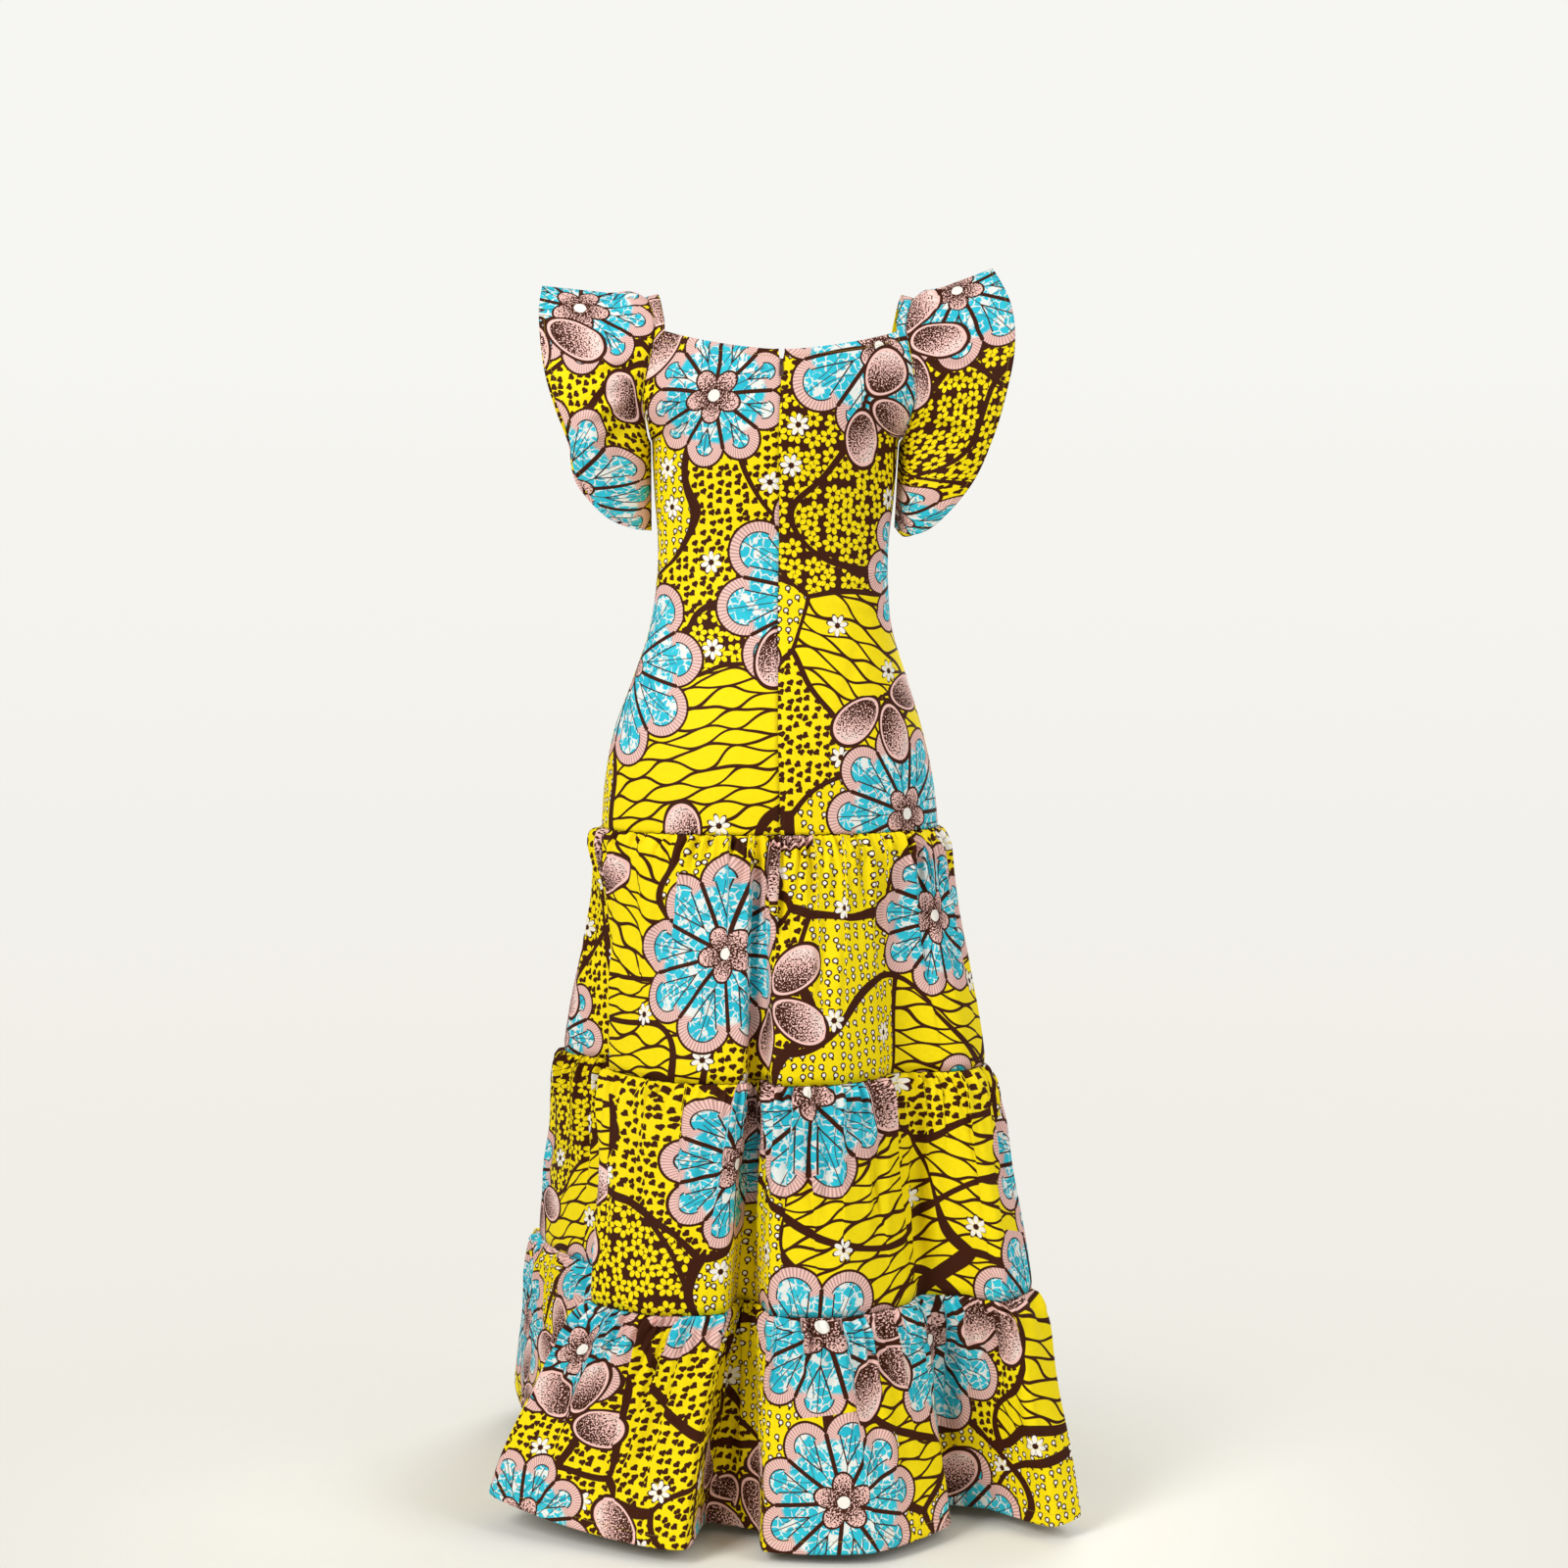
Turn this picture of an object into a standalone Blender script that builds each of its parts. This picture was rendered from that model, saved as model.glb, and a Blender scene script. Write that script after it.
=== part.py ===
"""Ankara wax print dress: a fitted sheath with butterfly sleeves over three gathered tiers.

The dress keeps the hollow form it has when worn. Z is up, the front faces -Y, the wearer's
left is +X, and the origin lies midway between the shoulder seams, where the dress is held.
Every piece of cloth is a wall of its own, parted from its neighbours by the seam gap.
"""

import math

import bmesh
import bpy
import numpy as np
from mathutils import Vector

# ---------------------------------------------------------------- driving dimensions, in metres
CLOTH_WALL = 0.0018
SEAM_GAP = 0.0003

UNDERARM_Z = -0.165
HIP_SEAM_Z = -0.612
SEAM_1_Z = -0.885
SEAM_2_Z = -1.135
TIER_3_CLOTH_LENGTH = 0.256

ARMHOLE_HALF_HEIGHT = 0.0825
ARMHOLE_HALF_DEPTH = 0.062
STRAP_CORNER_DEG = 60.0
ARMHOLE_STEP_DEG = 15.0
STRAP_RISE = 0.003
STRAP_WIDEN = 0.015

BACK_NECK_Z = -0.070
FRONT_NECK_Z = -0.112
NECK_CURVE = 1.5
BUST_FULLNESS = 0.010
BUST_POINT = (0.078, -0.190)
BUST_SPREAD = (0.042, 0.050)

GATHERS_PER_TIER = 48
GATHER_DEPTH = 0.0028
TIER_PUFF = 0.007
EARLY_FLARE = 1.35

ZIP_TOP_Z = -0.0880
ZIP_BOTTOM_Z = -0.545
ZIP_WIDTH = 0.024
ZIP_TAPE = 0.0010

SLIDER_SIZE = (0.0052, 0.0018, 0.0075)
CROWN_WIDTH = 0.0010
CROWN_INNER = 0.0008
CROWN_OUTER = 0.0015
CROWN_STEPS = 8
SLIDER_RISE = 0.0042
SLIDER_CLEARANCE = 0.0002
PULL_LENGTH = 0.0170
PULL_THICKNESS = 0.0007
PULL_WIDEST = 0.0044
PULL_EYE = (0.0016, 0.0024)
PULL_STANDOFF = 0.0010

# ---------------------------------------------------------------- tables, in metres and degrees
# The sheath's level sections: half width at the sides, depth of the back and of the front, how
# far the section leans off the middle, and how far it is turned, in degrees.
# height, half_width, back, front, lean, turn
SHEATH = (
    (-0.612, 0.1970, 0.140, 0.126, 0.000, 0.0),
    (-0.560, 0.1920, 0.137, 0.124, 0.001, 0.0),
    (-0.500, 0.1800, 0.128, 0.119, 0.002, 0.0),
    (-0.440, 0.1600, 0.110, 0.110, 0.000, 0.0),
    (-0.380, 0.1410, 0.090, 0.102, -0.001, 0.0),
    (-0.320, 0.1345, 0.079, 0.099, -0.003, 0.0),
    (-0.280, 0.1345, 0.079, 0.103, -0.004, 0.3),
    (-0.230, 0.1390, 0.086, 0.112, -0.005, 1.2),
    (-0.165, 0.1430, 0.096, 0.118, -0.006, 2.6),
    (-0.110, 0.1450, 0.098, 0.110, -0.010, 3.5),
    (-0.070, 0.1500, 0.095, 0.098, -0.011, 3.5),
)

# How far the armhole seam stands out to the side, by the angle round it from the shoulder.
# angle, side
ARMHOLE = (
    (0.0, 0.1560),
    (30.0, 0.1490),
    (60.0, 0.1430),
    (90.0, 0.1495),
    (115.0, 0.1550),
    (150.0, 0.1480),
    (180.0, 0.1433),
)

# Where the sheath's columns lie, as shares of the way from its centre line to the side, how
# many of them carry on up the strap, and its rows below the armholes.
PANEL_COLUMNS = (0.0, 0.14, 0.28, 0.42, 0.56, 0.68, 0.79, 0.89, 0.945, 1.0)
STRAP_COLUMNS = 2
SLOPE_STEP = 0.01
LOWER_ROWS_Z = (-0.612, -0.558, -0.504, -0.450, -0.400, -0.350, -0.300, -0.250, -0.205)
SHOULDER_ROW = ("arm", 0.0)

# The notch at the top of the centre-back seam.
# height, half_width
NOTCH = (
    (-0.090, 0.00015),
    (-0.080, 0.0018),
    (-0.070, 0.0042),
)

# The sleeve's hem, from the tip over the shoulder, round the back, to the underarm.
# angle, side, depth, height
LEFT_SLEEVE_HEM = (
    (0.0, 0.262, 0.000, 0.010),
    (25.0, 0.266, 0.028, -0.026),
    (50.0, 0.261, 0.050, -0.078),
    (75.0, 0.249, 0.062, -0.122),
    (100.0, 0.233, 0.064, -0.165),
    (125.0, 0.224, 0.058, -0.211),
    (145.0, 0.193, 0.046, -0.250),
    (162.0, 0.168, 0.030, -0.265),
    (180.0, 0.148, 0.000, -0.269),
)
RIGHT_SLEEVE_HEM = (
    (0.0, 0.259, 0.000, 0.036),
    (25.0, 0.276, 0.028, -0.010),
    (50.0, 0.277, 0.052, -0.060),
    (75.0, 0.266, 0.064, -0.112),
    (100.0, 0.250, 0.066, -0.165),
    (125.0, 0.226, 0.060, -0.218),
    (145.0, 0.190, 0.047, -0.262),
    (162.0, 0.168, 0.030, -0.274),
    (180.0, 0.153, 0.000, -0.264),
)
SLEEVE_ROWS = (0.0, 0.07, 0.18, 0.33, 0.50, 0.67, 0.84, 1.0)
SLEEVE_FULLNESS = 0.010
SLEEVE_FOLD_DEG = 128.0
SLEEVE_FOLD_WIDTH_DEG = 20.0
SLEEVE_FOLD_DEPTH = 0.010
SLEEVE_FOLD_END = 0.7
SLEEVE_HEAD_LIFT = 0.004
SLEEVE_HEAD_AT = 0.14
SLEEVE_HEAD_SPREAD = 0.12
SLEEVE_HEAD_SPREAD_DEG = 40.0

# The skirt's folds where they cross the two tier seams and the hem, going round from the
# centre back over the wearer's left: each row is one edge, corner or hollow of a fold.
# seam 1 x, y, seam 2 x, y, hem x, y
FOLDS = (
    (0.008, 0.190, 0.012, 0.214, 0.022, 0.238),
    (0.016, 0.158, 0.026, 0.162, 0.024, 0.178),
    (0.036, 0.152, 0.056, 0.148, 0.084, 0.150),
    (0.054, 0.172, 0.078, 0.198, 0.112, 0.242),
    (0.125, 0.156, 0.145, 0.203, 0.215, 0.190),
    (0.190, 0.066, 0.213, 0.138, 0.328, 0.105),
    (0.170, 0.012, 0.180, 0.040, 0.255, -0.010),
    (0.232, -0.045, 0.256, -0.120, 0.285, -0.190),
    (0.238, -0.100, 0.272, -0.215, 0.306, -0.335),
    (0.190, -0.152, 0.222, -0.270, 0.250, -0.385),
    (0.145, -0.160, 0.170, -0.232, 0.190, -0.300),
    (0.110, -0.192, 0.130, -0.268, 0.150, -0.345),
    (0.045, -0.208, 0.052, -0.290, 0.060, -0.375),
    (0.015, -0.186, 0.015, -0.242, 0.020, -0.300),
    (-0.020, -0.206, -0.022, -0.285, -0.030, -0.365),
    (-0.095, -0.196, -0.112, -0.268, -0.135, -0.345),
    (-0.130, -0.166, -0.150, -0.215, -0.165, -0.270),
    (-0.175, -0.160, -0.205, -0.225, -0.240, -0.300),
    (-0.228, -0.110, -0.270, -0.150, -0.328, -0.200),
    (-0.220, -0.070, -0.248, -0.105, -0.280, -0.130),
    (-0.245, -0.030, -0.288, -0.045, -0.340, -0.060),
    (-0.228, 0.012, -0.255, 0.040, -0.284, 0.050),
    (-0.245, 0.062, -0.290, 0.125, -0.336, 0.178),
    (-0.216, 0.106, -0.250, 0.176, -0.300, 0.204),
    (-0.172, 0.114, -0.205, 0.150, -0.240, 0.130),
    (-0.132, 0.118, -0.160, 0.140, -0.188, 0.112),
    (-0.108, 0.156, -0.138, 0.180, -0.186, 0.184),
    (-0.055, 0.190, -0.066, 0.226, -0.090, 0.259),
)
TIER_COLUMNS_PER_HALF = 48

# The three tiers; the lowest one ends where its cloth does.
# name, top height, bottom height
TIERS = (
    ("tier_1", HIP_SEAM_Z, SEAM_1_Z),
    ("tier_2", SEAM_1_Z, SEAM_2_Z),
    ("tier_3", SEAM_2_Z, None),
)

# A tier's rows by their level distance below its top seam: gathered rows, then plain ones.
DENSE_ROWS = (0.0, 0.016)
COARSE_ROWS = (0.042, 0.095, 0.150, 0.205)
TIER_ROW_SPAN = 0.250
PUFF_RISE = 0.020
PUFF_FALL = 0.110

# The pull tab's outline, as shares of its half width and its length, clockwise from the top.
# side, down
PULL_OUTLINE = (
    (0.00, 0.00),
    (0.72, 0.02),
    (0.74, 0.12),
    (1.00, 0.78),
    (0.62, 0.96),
    (0.00, 1.00),
    (-0.62, 0.96),
    (-1.00, 0.78),
    (-0.74, 0.12),
    (-0.72, 0.02),
)

CLOTH_COLOUR = (0.87, 0.70, 0.02)
ZIP_COLOUR = (0.075, 0.030, 0.022)


# ---------------------------------------------------------------- curves
def smooth(table, column, at):
    """Read a column of a table between its rows, along a smooth curve through them."""
    knots = [row[0] for row in table]
    values = [row[column] for row in table]
    last = len(knots) - 1
    at = min(max(at, min(knots)), max(knots))
    k = 0
    while k < last - 1 and at > knots[k + 1]:
        k += 1
    span = knots[k + 1] - knots[k]
    t = (at - knots[k]) / span

    def slope(i):
        if i == 0:
            return (values[1] - values[0]) / (knots[1] - knots[0])
        if i == last:
            return (values[last] - values[last - 1]) / (knots[last] - knots[last - 1])
        return (values[i + 1] - values[i - 1]) / (knots[i + 1] - knots[i - 1])

    rise = slope(k) * span
    fall = slope(k + 1) * span
    return (
        values[k] * (2 * t**3 - 3 * t**2 + 1)
        + rise * (t**3 - 2 * t**2 + t)
        + values[k + 1] * (-2 * t**3 + 3 * t**2)
        + fall * (t**3 - t**2)
    )


def bell(offset, width):
    return math.exp(-((offset / width) ** 2))


def ease(t):
    t = min(max(t, 0.0), 1.0)
    return t * t * (3.0 - 2.0 * t)


# ---------------------------------------------------------------- building a wall of cloth
def new_object(name, vertices, faces, finish):
    mesh = bpy.data.meshes.new(name)
    mesh.from_pydata([tuple(v) for v in vertices], [], faces)
    mesh.validate()
    mesh.update()
    obj = bpy.data.objects.new(name, mesh)
    bpy.context.collection.objects.link(obj)
    mesh.materials.append(finish)
    mesh.shade_smooth()
    mesh.set_sharp_from_angle(angle=math.radians(50.0))
    return obj


def cloth_wall(name, outside, inward, faces, wall, finish):
    """Close a sheet into a wall: outer face, inner face moved inward, and rims on every edge."""
    count = len(outside)
    inside = [p + d * wall for p, d in zip(outside, inward)]
    used = {}
    for face in faces:
        for a, b in zip(face, face[1:] + face[:1]):
            used[(a, b)] = True
    rims = []
    for a, b in used:
        if (b, a) not in used:
            rims.append((b, a, a + count, b + count))
    backs = [tuple(i + count for i in reversed(face)) for face in faces]
    return new_object(name, outside + inside, [tuple(f) for f in faces] + backs + rims, finish)


def grid_faces(columns, rows, present, closed=False):
    """Quads of a grid numbered row by row; present says which cells there are."""
    faces = []
    wrap = columns if closed else columns + 1
    for j in range(rows):
        for i in range(columns):
            if present(i, j):
                here = j * wrap + i
                beside = j * wrap + (i + 1) % wrap
                faces.append([here, here + wrap, beside + wrap, beside])
    return faces


def drop_unused(points, inward, faces):
    """Leave out grid points that no face uses."""
    kept = sorted({i for face in faces for i in face})
    place = {old: new for new, old in enumerate(kept)}
    return (
        [points[i] for i in kept],
        [inward[i] for i in kept],
        [[place[i] for i in face] for face in faces],
    )


# ---------------------------------------------------------------- the sheath
def worn(point):
    """Lean and turn a point of the straight sheath into the place it is worn in."""
    turn = math.radians(smooth(SHEATH, 5, point.z))
    x = point.x * math.cos(turn) + point.y * math.sin(turn)
    y = point.y * math.cos(turn) - point.x * math.sin(turn)
    return Vector((x + smooth(SHEATH, 4, point.z), y, point.z))


def armhole_point(degrees, facing):
    """A point of the left armhole seam; facing is +1 behind and -1 in front."""
    turn = math.radians(degrees)
    side = smooth(ARMHOLE, 1, degrees)
    depth = facing * ARMHOLE_HALF_DEPTH * math.sin(turn)
    return Vector((side, depth, -ARMHOLE_HALF_HEIGHT * (1.0 - math.cos(turn))))


def panel_rows():
    """The sheath's rows from the hip seam to the shoulder: (kind, height or armhole angle)."""
    rows = [("body", z) for z in LOWER_ROWS_Z]
    steps = int(180.0 / ARMHOLE_STEP_DEG)
    rows += [("arm", 180.0 - k * ARMHOLE_STEP_DEG) for k in range(steps + 1)]
    return rows


def bust(side, height):
    across = bell(abs(side) - BUST_POINT[0], BUST_SPREAD[0])
    return BUST_FULLNESS * across * bell(height - BUST_POINT[1], BUST_SPREAD[1])


def sheath_point(s, row, facing):
    """Outer surface of the left half: s runs from the centre line to the side or armhole."""
    kind, level = row
    column = 2 if facing > 0 else 3
    if kind == "body":
        width = smooth(SHEATH, 1, level)
        deep = smooth(SHEATH, column, level)
        turn = s * math.pi / 2.0
        point = Vector((width * math.sin(turn), facing * deep * math.cos(turn), level))
    elif level >= STRAP_CORNER_DEG:
        edge = armhole_point(level, facing)
        climb = (180.0 - level) / (180.0 - STRAP_CORNER_DEG)
        neck_z = BACK_NECK_Z if facing > 0 else FRONT_NECK_Z
        centre_z = UNDERARM_Z + (neck_z - UNDERARM_Z) * climb
        deep = smooth(SHEATH, column, centre_z)
        reach = math.acos(min(abs(edge.y) / deep, 1.0))
        width = edge.x / math.sin(reach)
        turn = s * reach
        z = centre_z + (edge.z - centre_z) * s**NECK_CURVE
        point = Vector((width * math.sin(turn), facing * deep * math.cos(turn), z))
    else:
        corner = sheath_point(PANEL_COLUMNS[-1 - STRAP_COLUMNS], ("arm", STRAP_CORNER_DEG), facing)
        edge = armhole_point(level, facing)
        foot = armhole_point(STRAP_CORNER_DEG, facing)
        climb = 1.0 - level / STRAP_CORNER_DEG
        neck = edge + (corner - foot) * (1.0 - climb)
        neck += Vector((-STRAP_WIDEN, 0.0, STRAP_RISE)) * climb
        first = PANEL_COLUMNS[-1 - STRAP_COLUMNS]
        across = (s - first) / (1.0 - first)
        point = neck + (edge - neck) * across
    if facing < 0:
        point.y -= bust(point.x, point.z)
    return point


def notch_half_width(z):
    if z <= NOTCH[0][0]:
        return NOTCH[0][1]
    return smooth(NOTCH, 1, z)


def sheath_inward(s, row, facing, rows, index):
    """Direction from the outer to the inner face, level up to the underarm."""
    s0 = max(s - SLOPE_STEP, 0.0)
    s1 = min(s + SLOPE_STEP, 1.0)
    across = sheath_point(s1, row, facing) - sheath_point(s0, row, facing)
    if index <= len(LOWER_ROWS_Z):
        up = Vector((0.0, 0.0, 1.0))
    else:
        above = rows[min(index + 1, len(rows) - 1)]
        up = sheath_point(s, above, facing) - sheath_point(s, rows[index - 1], facing)
    normal = across.cross(up) * facing
    return normal.normalized()


def sheath_half(facing, mirror, split):
    """Points of one half of a panel, from the centre line out; mirror is +1 left, -1 right."""
    rows = panel_rows()
    points = []
    inward = []
    for index, row in enumerate(rows):
        for s in PANEL_COLUMNS:
            p = sheath_point(s, row, facing)
            d = sheath_inward(s, row, facing, rows, index)
            if split and s == 0.0:
                p.x = notch_half_width(p.z)
                d = Vector((0.0, -facing, 0.0))
            elif s == 0.0:
                p.x = 0.0
                d = Vector((0.0, -facing, d.z)).normalized()
            if row == SHOULDER_ROW:
                d = Vector((d.x, 0.0, d.z)).normalized()
            points.append(worn(Vector((mirror * p.x, p.y + facing * SEAM_GAP / 2.0, p.z))))
            inward.append(Vector((d.x * mirror, d.y, d.z)))
    return points, inward, rows


def neck_row(rows):
    return next(j for j, row in enumerate(rows) if row == ("arm", STRAP_CORNER_DEG))


def build_back_panel(name, mirror, finish):
    points, inward, rows = sheath_half(1.0, mirror, True)
    columns = len(PANEL_COLUMNS) - 1
    neck = neck_row(rows)

    def present(i, j):
        return j < neck or i >= columns - STRAP_COLUMNS

    faces = grid_faces(columns, len(rows) - 1, present)
    if mirror < 0:
        faces = [face[::-1] for face in faces]
    points, inward, faces = drop_unused(points, inward, faces)
    return cloth_wall(name, points, inward, faces, CLOTH_WALL, finish)


def build_front_panel(name, finish):
    left, left_in, rows = sheath_half(-1.0, 1.0, False)
    right, right_in, rows = sheath_half(-1.0, -1.0, False)
    half = len(PANEL_COLUMNS)
    points = []
    inward = []
    for j in range(len(rows)):
        for i in range(half - 1, 0, -1):
            points.append(right[j * half + i])
            inward.append(right_in[j * half + i])
        for i in range(half):
            points.append(left[j * half + i])
            inward.append(left_in[j * half + i])
    columns = 2 * (half - 1)
    neck = neck_row(rows)

    def present(i, j):
        return j < neck or i < STRAP_COLUMNS or i >= columns - STRAP_COLUMNS

    faces = [face[::-1] for face in grid_faces(columns, len(rows) - 1, present)]
    points, inward, faces = drop_unused(points, inward, faces)
    return cloth_wall(name, points, inward, faces, CLOTH_WALL, finish)


# ---------------------------------------------------------------- the sleeves
def sleeve_point(degrees, v, hem_table, mirror):
    """A sleeve's outer surface, side outward: degrees round the armhole, v from seam to hem."""
    degrees %= 360.0
    facing = 1.0
    if degrees > 180.0:
        degrees = 360.0 - degrees
        facing = -1.0
    start = armhole_point(degrees, facing)
    start = worn(Vector((mirror * (start.x + SEAM_GAP), start.y, start.z)))
    start.x *= mirror
    hem = Vector((
        smooth(hem_table, 1, degrees),
        facing * smooth(hem_table, 2, degrees),
        smooth(hem_table, 3, degrees),
    ))
    point = start.lerp(hem, v)
    swell = math.sin(math.pi * v)
    point.y += facing * SLEEVE_FULLNESS * swell * math.sin(math.radians(degrees))
    head = bell(v - SLEEVE_HEAD_AT, SLEEVE_HEAD_SPREAD) * bell(degrees, SLEEVE_HEAD_SPREAD_DEG)
    point.z += SLEEVE_HEAD_LIFT * head * min(v / SLEEVE_ROWS[1], 1.0)
    fold = bell(degrees - SLEEVE_FOLD_DEG, SLEEVE_FOLD_WIDTH_DEG)
    reach = math.sin(math.pi * min(v / SLEEVE_FOLD_END, 1.0))
    point.y -= facing * SLEEVE_FOLD_DEPTH * fold * reach
    return point


def build_sleeve(name, mirror, hem_table, finish):
    columns = int(round(360.0 / ARMHOLE_STEP_DEG))
    rows = len(SLEEVE_ROWS) - 1
    turns = [i * ARMHOLE_STEP_DEG for i in range(columns)]
    grid = [[sleeve_point(turn, v, hem_table, mirror) for turn in turns] for v in SLEEVE_ROWS]
    points = []
    inward = []
    for j in range(rows + 1):
        for i in range(columns):
            around = grid[j][(i + 1) % columns] - grid[j][i - 1]
            along = grid[min(j + 1, rows)][i] - grid[max(j - 1, 0)][i]
            d = around.cross(along).normalized()
            if j == 0:
                d.x = max(d.x, 0.0)
                d.normalize()
            p = grid[j][i].copy()
            p.x *= mirror
            points.append(p)
            inward.append(Vector((d.x * mirror, d.y, d.z)))
    faces = grid_faces(columns, rows, lambda i, j: True, closed=True)
    if mirror < 0:
        faces = [face[::-1] for face in faces]
    return cloth_wall(name, points, inward, faces, CLOTH_WALL, finish)


# ---------------------------------------------------------------- the skirt
class FoldLines:
    """Closed smooth curves through the fold table, one for each seam and one for the hem."""

    def __init__(self):
        table = np.array(FOLDS)
        hem = table[:, 4:6]
        steps = np.linalg.norm(np.roll(hem, -1, axis=0) - hem, axis=1)
        self.knots = np.concatenate([[0.0], np.cumsum(steps)]) / steps.sum()
        self.levels = [table[:, 0:2], table[:, 2:4], table[:, 4:6]]

    def at(self, level, u):
        """Plan position on a seam (0, 1) or the hem (2) at the fraction u of the way round."""
        u %= 1.0
        pts = self.levels[level]
        n = len(pts)
        k = int(np.searchsorted(self.knots, u, side="right") - 1)
        k = min(k, n - 1)
        span = self.knots[k + 1] - self.knots[k]
        before = self.knots[k] - self.knots[k - 1] if k > 0 else 1.0 - self.knots[n - 1]
        after = self.knots[k + 2] - self.knots[k + 1] if k < n - 1 else self.knots[1]
        p0, p1, p2, p3 = pts[k - 1], pts[k], pts[(k + 1) % n], pts[(k + 2) % n]
        m1 = (p2 - p0) / (span + before)
        m2 = (p3 - p1) / (span + after)
        t = (u - self.knots[k]) / span
        return (
            p1 * (2 * t**3 - 3 * t**2 + 1)
            + m1 * span * (t**3 - 2 * t**2 + t)
            + p2 * (-2 * t**3 + 3 * t**2)
            + m2 * span * (t**3 - t**2)
        )

    def hip(self, u):
        """Plan position on the hip seam, straight above the fold that hangs from it."""
        below = self.at(0, u)
        width = SHEATH[0][1]
        deep = SHEATH[0][2] if below[1] > 0 else SHEATH[0][3]
        reach = math.hypot(below[0] / width, below[1] / deep)
        return below / reach

    def side_seam(self, left):
        """The fraction at which the fold lines cross the side, by halving."""
        low, high = (0.05, 0.45) if left else (0.55, 0.95)
        for _ in range(40):
            middle = (low + high) / 2.0
            behind = self.at(0, middle)[1] > 0.0
            if behind == left:
                low = middle
            else:
                high = middle
        return (low + high) / 2.0


LINES = FoldLines()


def tier_edges(tier, u):
    """Top and bottom plan positions of a tier at the fraction u."""
    top = LINES.hip(u) if tier == 0 else LINES.at(tier - 1, u)
    return top, LINES.at(tier, u)


def tier_point(tier, u, drop, gather=0.0):
    """Outer surface of a tier: drop is the level distance below its top seam, or 'hem'."""
    top_z, bottom_z = TIERS[tier][1:]
    top, bottom = tier_edges(tier, u)
    if bottom_z is None:
        flare = float(np.linalg.norm(bottom - top))
        bottom_z = top_z - math.sqrt(TIER_3_CLOTH_LENGTH**2 - flare**2)
    height = top_z - bottom_z
    share = 1.0 if drop == "hem" else drop / TIER_ROW_SPAN
    early = 1.0 - (1.0 - share) ** EARLY_FLARE
    plan = top + (bottom - top) * early
    z = top_z - height * share
    reach = np.linalg.norm(plan)
    below = share * height
    puff = TIER_PUFF * ease(below / PUFF_RISE) * (1.0 - ease((below - PUFF_RISE) / PUFF_FALL))
    plan = plan * (1.0 + (puff + gather) / reach)
    return Vector((float(plan[0]), float(plan[1]), z))


def tier_inward(tier, u, drop):
    step = 0.002
    along = tier_point(tier, u + step, drop) - tier_point(tier, u - step, drop)
    return Vector((along.y, -along.x, 0.0)).normalized()


def build_tier_half(tier, side, start, end, finish):
    """One width of a tier between two side seams, gathered at the top."""
    n = TIER_COLUMNS_PER_HALF
    dense = 2 * n
    waves = GATHERS_PER_TIER // 2
    lap = float(np.linalg.norm(LINES.at(tier, start + 0.001) - LINES.at(tier, start))) / 0.001
    gap = SEAM_GAP / 2.0 / lap
    start += gap
    end -= gap
    points = []
    inward = []
    rows = []

    def add_row(count, drop, fade):
        first = len(points)
        for i in range(count + 1):
            u = start + (end - start) * i / count
            wave = math.sin(2.0 * math.pi * waves * i / count) * GATHER_DEPTH * fade
            p = tier_point(tier, u, drop, wave)
            if drop == 0.0:
                p.z -= SEAM_GAP
            points.append(p)
            inward.append(tier_inward(tier, u, drop))
        rows.append((first, count))

    for drop in DENSE_ROWS:
        add_row(dense, drop, 1.0)
    for drop in COARSE_ROWS:
        add_row(n, drop, 0.0)
    add_row(n, "hem", 0.0)

    faces = []
    for (upper, upper_count), (lower, lower_count) in zip(rows, rows[1:]):
        if upper_count == lower_count:
            for i in range(upper_count):
                faces.append([upper + i, upper + i + 1, lower + i + 1, lower + i])
        else:
            for i in range(lower_count):
                a = upper + 2 * i
                faces.append([a, a + 1, lower + i])
                faces.append([a + 1, lower + i + 1, lower + i])
                faces.append([a + 1, a + 2, lower + i + 1])
    return cloth_wall(TIERS[tier][0] + "_" + side, points, inward, faces, CLOTH_WALL, finish)


def build_skirt(finish):
    left = LINES.side_seam(True)
    right = LINES.side_seam(False)
    for tier in range(len(TIERS)):
        build_tier_half(tier, "back", right - 1.0, left, finish)
        build_tier_half(tier, "front", left, right, finish)


# ---------------------------------------------------------------- the zip
def back_centre(z):
    """Depth of the back's outer face on the centre line."""
    return smooth(SHEATH, 2, z) + SEAM_GAP / 2.0


def build_zip(finish):
    """Zip tapes behind the centre-back seam, flat against the facets of the two panels."""
    half = ZIP_WIDTH / 2.0
    rows = []
    for row in panel_rows():
        centre = sheath_point(0.0, row, 1.0)
        beside = sheath_point(PANEL_COLUMNS[1], row, 1.0)
        fall = (centre.y - beside.y) / beside.x * half
        y = centre.y - CLOTH_WALL - SEAM_GAP
        corners = ((-half, y - fall), (0.0, y), (half, y - fall))
        here = [worn(Vector((side, deep, centre.z))) for side, deep in corners]
        if centre.z > ZIP_TOP_Z:
            share = (ZIP_TOP_Z - rows[-1][0].z) / (centre.z - rows[-1][0].z)
            rows.append([low.lerp(high, share) for low, high in zip(rows[-1], here)])
            break
        if centre.z > ZIP_BOTTOM_Z:
            rows.append(here)
    points = [point for row in rows for point in row]
    inward = [Vector((0.0, -1.0, 0.0))] * len(points)
    faces = grid_faces(2, len(rows) - 1, lambda i, j: True)
    return cloth_wall("back_zip", points, inward, faces, ZIP_TAPE, finish)


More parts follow.
